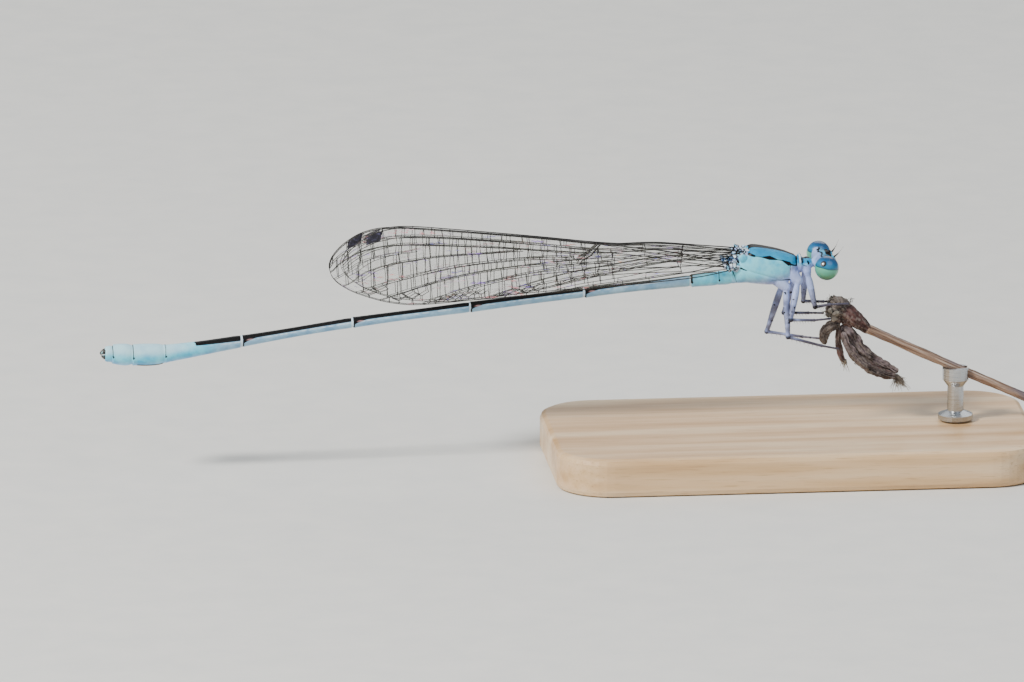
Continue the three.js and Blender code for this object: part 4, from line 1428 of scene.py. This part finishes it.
# Tufts of dry fibres: root, heading, how many, how long and how far they spread
TUFTS = [
    ((8.55, 0.05, -5.62), (0.4, 0, -0.7), 110, 0.55, 0.6),
    ((5.8, 0, -4.72), (0.3, 0, -0.6), 26, 0.36, 0.4),
    ((6.42, -0.1, -4.66), (0.35, 0, -0.45), 14, 0.22, 0.4),
    ((5.2, 0, -1.5), (-0.3, 0, 0.5), 26, 0.26, 0.7),
    ((6.05, 0, -1.6), (0.4, 0, 0.5), 12, 0.24, 0.6),
    ((4.95, -0.1, -2.1), (-0.6, 0, -0.1), 20, 0.2, 0.8),
]


def frayed_ends():
    """Dry fibres that stick out of the florets' tips and the crown."""
    bm = bmesh.new()
    paths = []
    for root, heading, count, reach, spread in TUFTS:
        for _ in range(count):
            way = Vector(heading).normalized() + spread * scatter()
            bend = 0.4 * scatter()
            length = reach * rng.uniform(0.5, 1)
            start = Vector(root) + 0.14 * scatter()
            shares = [k / 4 for k in range(5)]
            paths.append([(start + (way + bend * share) * length * share, mix(0.022, 0.006, share))
                          for share in shares])
    strands(bm, paths, 0)
    return piece("frayed_ends", bm, PITH, "withered_flower")


# Crown: its middle, the way it faces, its number of sepals, the path and widths of the hood that
# curls over it, and the pale knobs between them with their sizes
CROWN = {
    "middle": Vector((5.45, 0, -1.88)),
    "axis": Vector((-0.83, 0, 0.55)).normalized(),
    "sepals": 9,
    "hood": [(6.1, -0.05, -2.0), (6.06, -0.05, -1.66), (5.83, -0.03, -1.46), (5.47, 0, -1.38),
             (5.1, 0, -1.44)],
    "hood_widths": [0.2, 0.36, 0.4, 0.34, 0.16],
    "knobs": [(5.04, -0.5, -1.9, 0.13), (5.3, -0.6, -2.04, 0.15), (4.96, -0.42, -2.14, 0.12),
              (5.2, -0.54, -2.3, 0.14), (5.05, 0.4, -2.2, 0.15), (5.2, 0.45, -1.9, 0.14)],
}
PAPER = 0.05  # thickness of a sepal


def petal(bm, points, widths, cup, seed):
    """A shrivelled papery leaf along a path, cupped across and crumpled."""
    columns, rows = 12, 24
    path = resample([(*point, width) for point, width in zip(points, widths)], rows)

    def place(i, j):
        along = (path[min(j + 1, rows)] - path[max(j - 1, 0)]).xyz.normalized()
        out = path[j].xyz - CROWN["middle"]
        out = (out - along * out.dot(along)).normalized()
        side = along.cross(out)
        across = 2 * i / columns - 1
        wild = noise.noise_vector(Vector((i * 0.3, j * 0.22, seed * 4.7)))
        fold = 0.07 * math.sin(9 * across + seed)
        return path[j].xyz + side * across * path[j][3] + out * (fold - cup * across**2) + wild * 0.09

    sheet(bm, columns, rows, place)


def crown():
    """Shrivelled sepals that hug a small heart on the end of the calyx, under a curled hood."""
    heart = bmesh.new()
    middle = CROWN["middle"]
    roughen(blob(heart, middle, (0.4, 0.42, 0.36), detail=48), 0.16, 0.3, 3.0, middle)
    piece("crown_heart", heart, CALYX, "withered_flower", "perch_crown")
    crown_sepals()
    crown_knobs()


def crown_sepals():
    leaves = bmesh.new()
    middle, axis = CROWN["middle"], CROWN["axis"]
    up = axis.cross(LATERAL).normalized()
    for index in range(CROWN["sepals"]):
        turn = 2 * math.pi * (index + 0.3 * rng.random()) / CROWN["sepals"]
        outward = LATERAL * math.cos(turn) + up * math.sin(turn)
        lean = rng.uniform(-0.15, 0.2)
        tall = rng.uniform(0.75, 1.1)
        points = [
            middle - axis * 0.32 + outward * 0.4,
            middle - axis * 0.05 + outward * 0.5,
            middle + axis * 0.25 * tall + outward * (0.45 + 0.5 * lean),
            middle + axis * 0.5 * tall + outward * (0.24 + lean),
        ]
        petal(leaves, points, [0.16, 0.22, 0.19, 0.05], 0.12, index)
    petal(leaves, CROWN["hood"], CROWN["hood_widths"], 0.3, 11)
    made = piece("crown_sepals", leaves, PETAL, "withered_flower", "perch_crown")
    thick = made.modifiers.new("paper", "SOLIDIFY")
    thick.thickness = PAPER * MM
    thick.offset = 0


def crown_knobs():
    knobs = bmesh.new()
    for x, y, z, size in CROWN["knobs"]:
        radii = (size, 0.8 * size, 1.25 * size)
        verts = blob(knobs, (x, y, z), radii, turn=(0, rng.uniform(-1, 1), 0), detail=24)
        roughen(verts, 0.5 * size, 0.16, x, Vector((x, y, z)))
    piece("crown_knobs", knobs, PITH, "withered_flower", "perch_crown")


# Everything on the insect and its perch

skin = body_skin()
flesh = ["head", "mouthparts", "pterothorax", "prothorax"]
flesh += ["abdomen_%d" % number for number in range(1, 11)]
flesh += ["leg_" + name + "_" + part for name in LEGS for part in ("femur", "tibia", "tarsus")]
body = piece("body_skin", skin, CUTICLE, "cuticle", *flesh)
colour_body(body)
for side_name in SIDES:
    eye(side_name)
    for pair in WINGS:
        wing_pieces(pair, side_name)
antennae()
claspers()
leg_bristles()
for name, (solid, material, depth, points, extra) in ROLLS.items():
    crumpled(name, solid, material, depth, points, **extra)
calyx_foot()
crown()
frayed_ends()

# Stand: the CAD base and rod keep their shape and get their finish

for name, material in (("stand_base", maple()), ("stand_rod", brushed_steel())):
    mesh = frame["nodes"][name].data
    mesh.materials.clear()
    mesh.materials.append(material)


# Studio: pale floor, soft light from above and both sides, and the photo's camera

def floor():
    bm = bmesh.new()
    bmesh.ops.create_grid(bm, x_segments=1, y_segments=1, size=2.5)
    mesh = bpy.data.meshes.new("floor")
    bm.to_mesh(mesh)
    bm.free()
    made = bpy.data.objects.new("floor", mesh)
    bpy.context.collection.objects.link(made)
    mesh.materials.append(studio_paper())


def soft_light(name, azimuth, elevation, distance, size, power, colour="#ffffff"):
    data = bpy.data.lights.new(name, "AREA")
    data.shape = "DISK"
    data.size = size
    data.energy = power
    data.color = linear(colour)[:3]
    made = bpy.data.objects.new(name, data)
    bpy.context.collection.objects.link(made)
    back = direction(azimuth, elevation)
    made.location = ORIGIN + back * distance
    made.rotation_euler = (-back).to_track_quat("-Z", "Y").to_euler()


def direction(azimuth, elevation):
    a, e = math.radians(azimuth), math.radians(elevation)
    return Vector((math.sin(a) * math.cos(e), -math.cos(a) * math.cos(e), math.sin(e)))


# Where the photo was taken from, and how far right of and over the origin it looks
PHOTO = {
    "azimuth": -6,
    "elevation": 14,
    "right": -11.28,
    "up": -3.385,
    "distance": 875.3,
    "lens": 600,
}


def camera():
    data = bpy.data.cameras.new("camera")
    data.lens = PHOTO["lens"]
    data.sensor_width = 36
    data.clip_start = 0.005
    data.clip_end = 20
    made = bpy.data.objects.new("camera", data)
    bpy.context.collection.objects.link(made)
    back = direction(PHOTO["azimuth"], PHOTO["elevation"])
    right = Vector((0, 0, 1)).cross(back).normalized()
    up = back.cross(right)
    target = ORIGIN + (right * PHOTO["right"] + up * PHOTO["up"]) * MM
    made.location = target + back * PHOTO["distance"] * MM
    made.rotation_euler = (-back).to_track_quat("-Z", "Y").to_euler()
    bpy.context.scene.camera = made


def world():
    made = bpy.data.worlds.new("studio")
    made.use_nodes = True
    background = made.node_tree.nodes["Background"]
    background.inputs["Color"].default_value = linear("#e9edf0")
    background.inputs["Strength"].default_value = 0.28
    bpy.context.scene.world = made


floor()
soft_light("key", -59, 42, 0.5, 0.1, 3.6, "#fffaf2")
soft_light("fill", 40, 50, 0.6, 0.5, 0.9, "#eef4ff")
soft_light("rim", 165, 40, 0.6, 0.5, 1.0)
camera()
world()
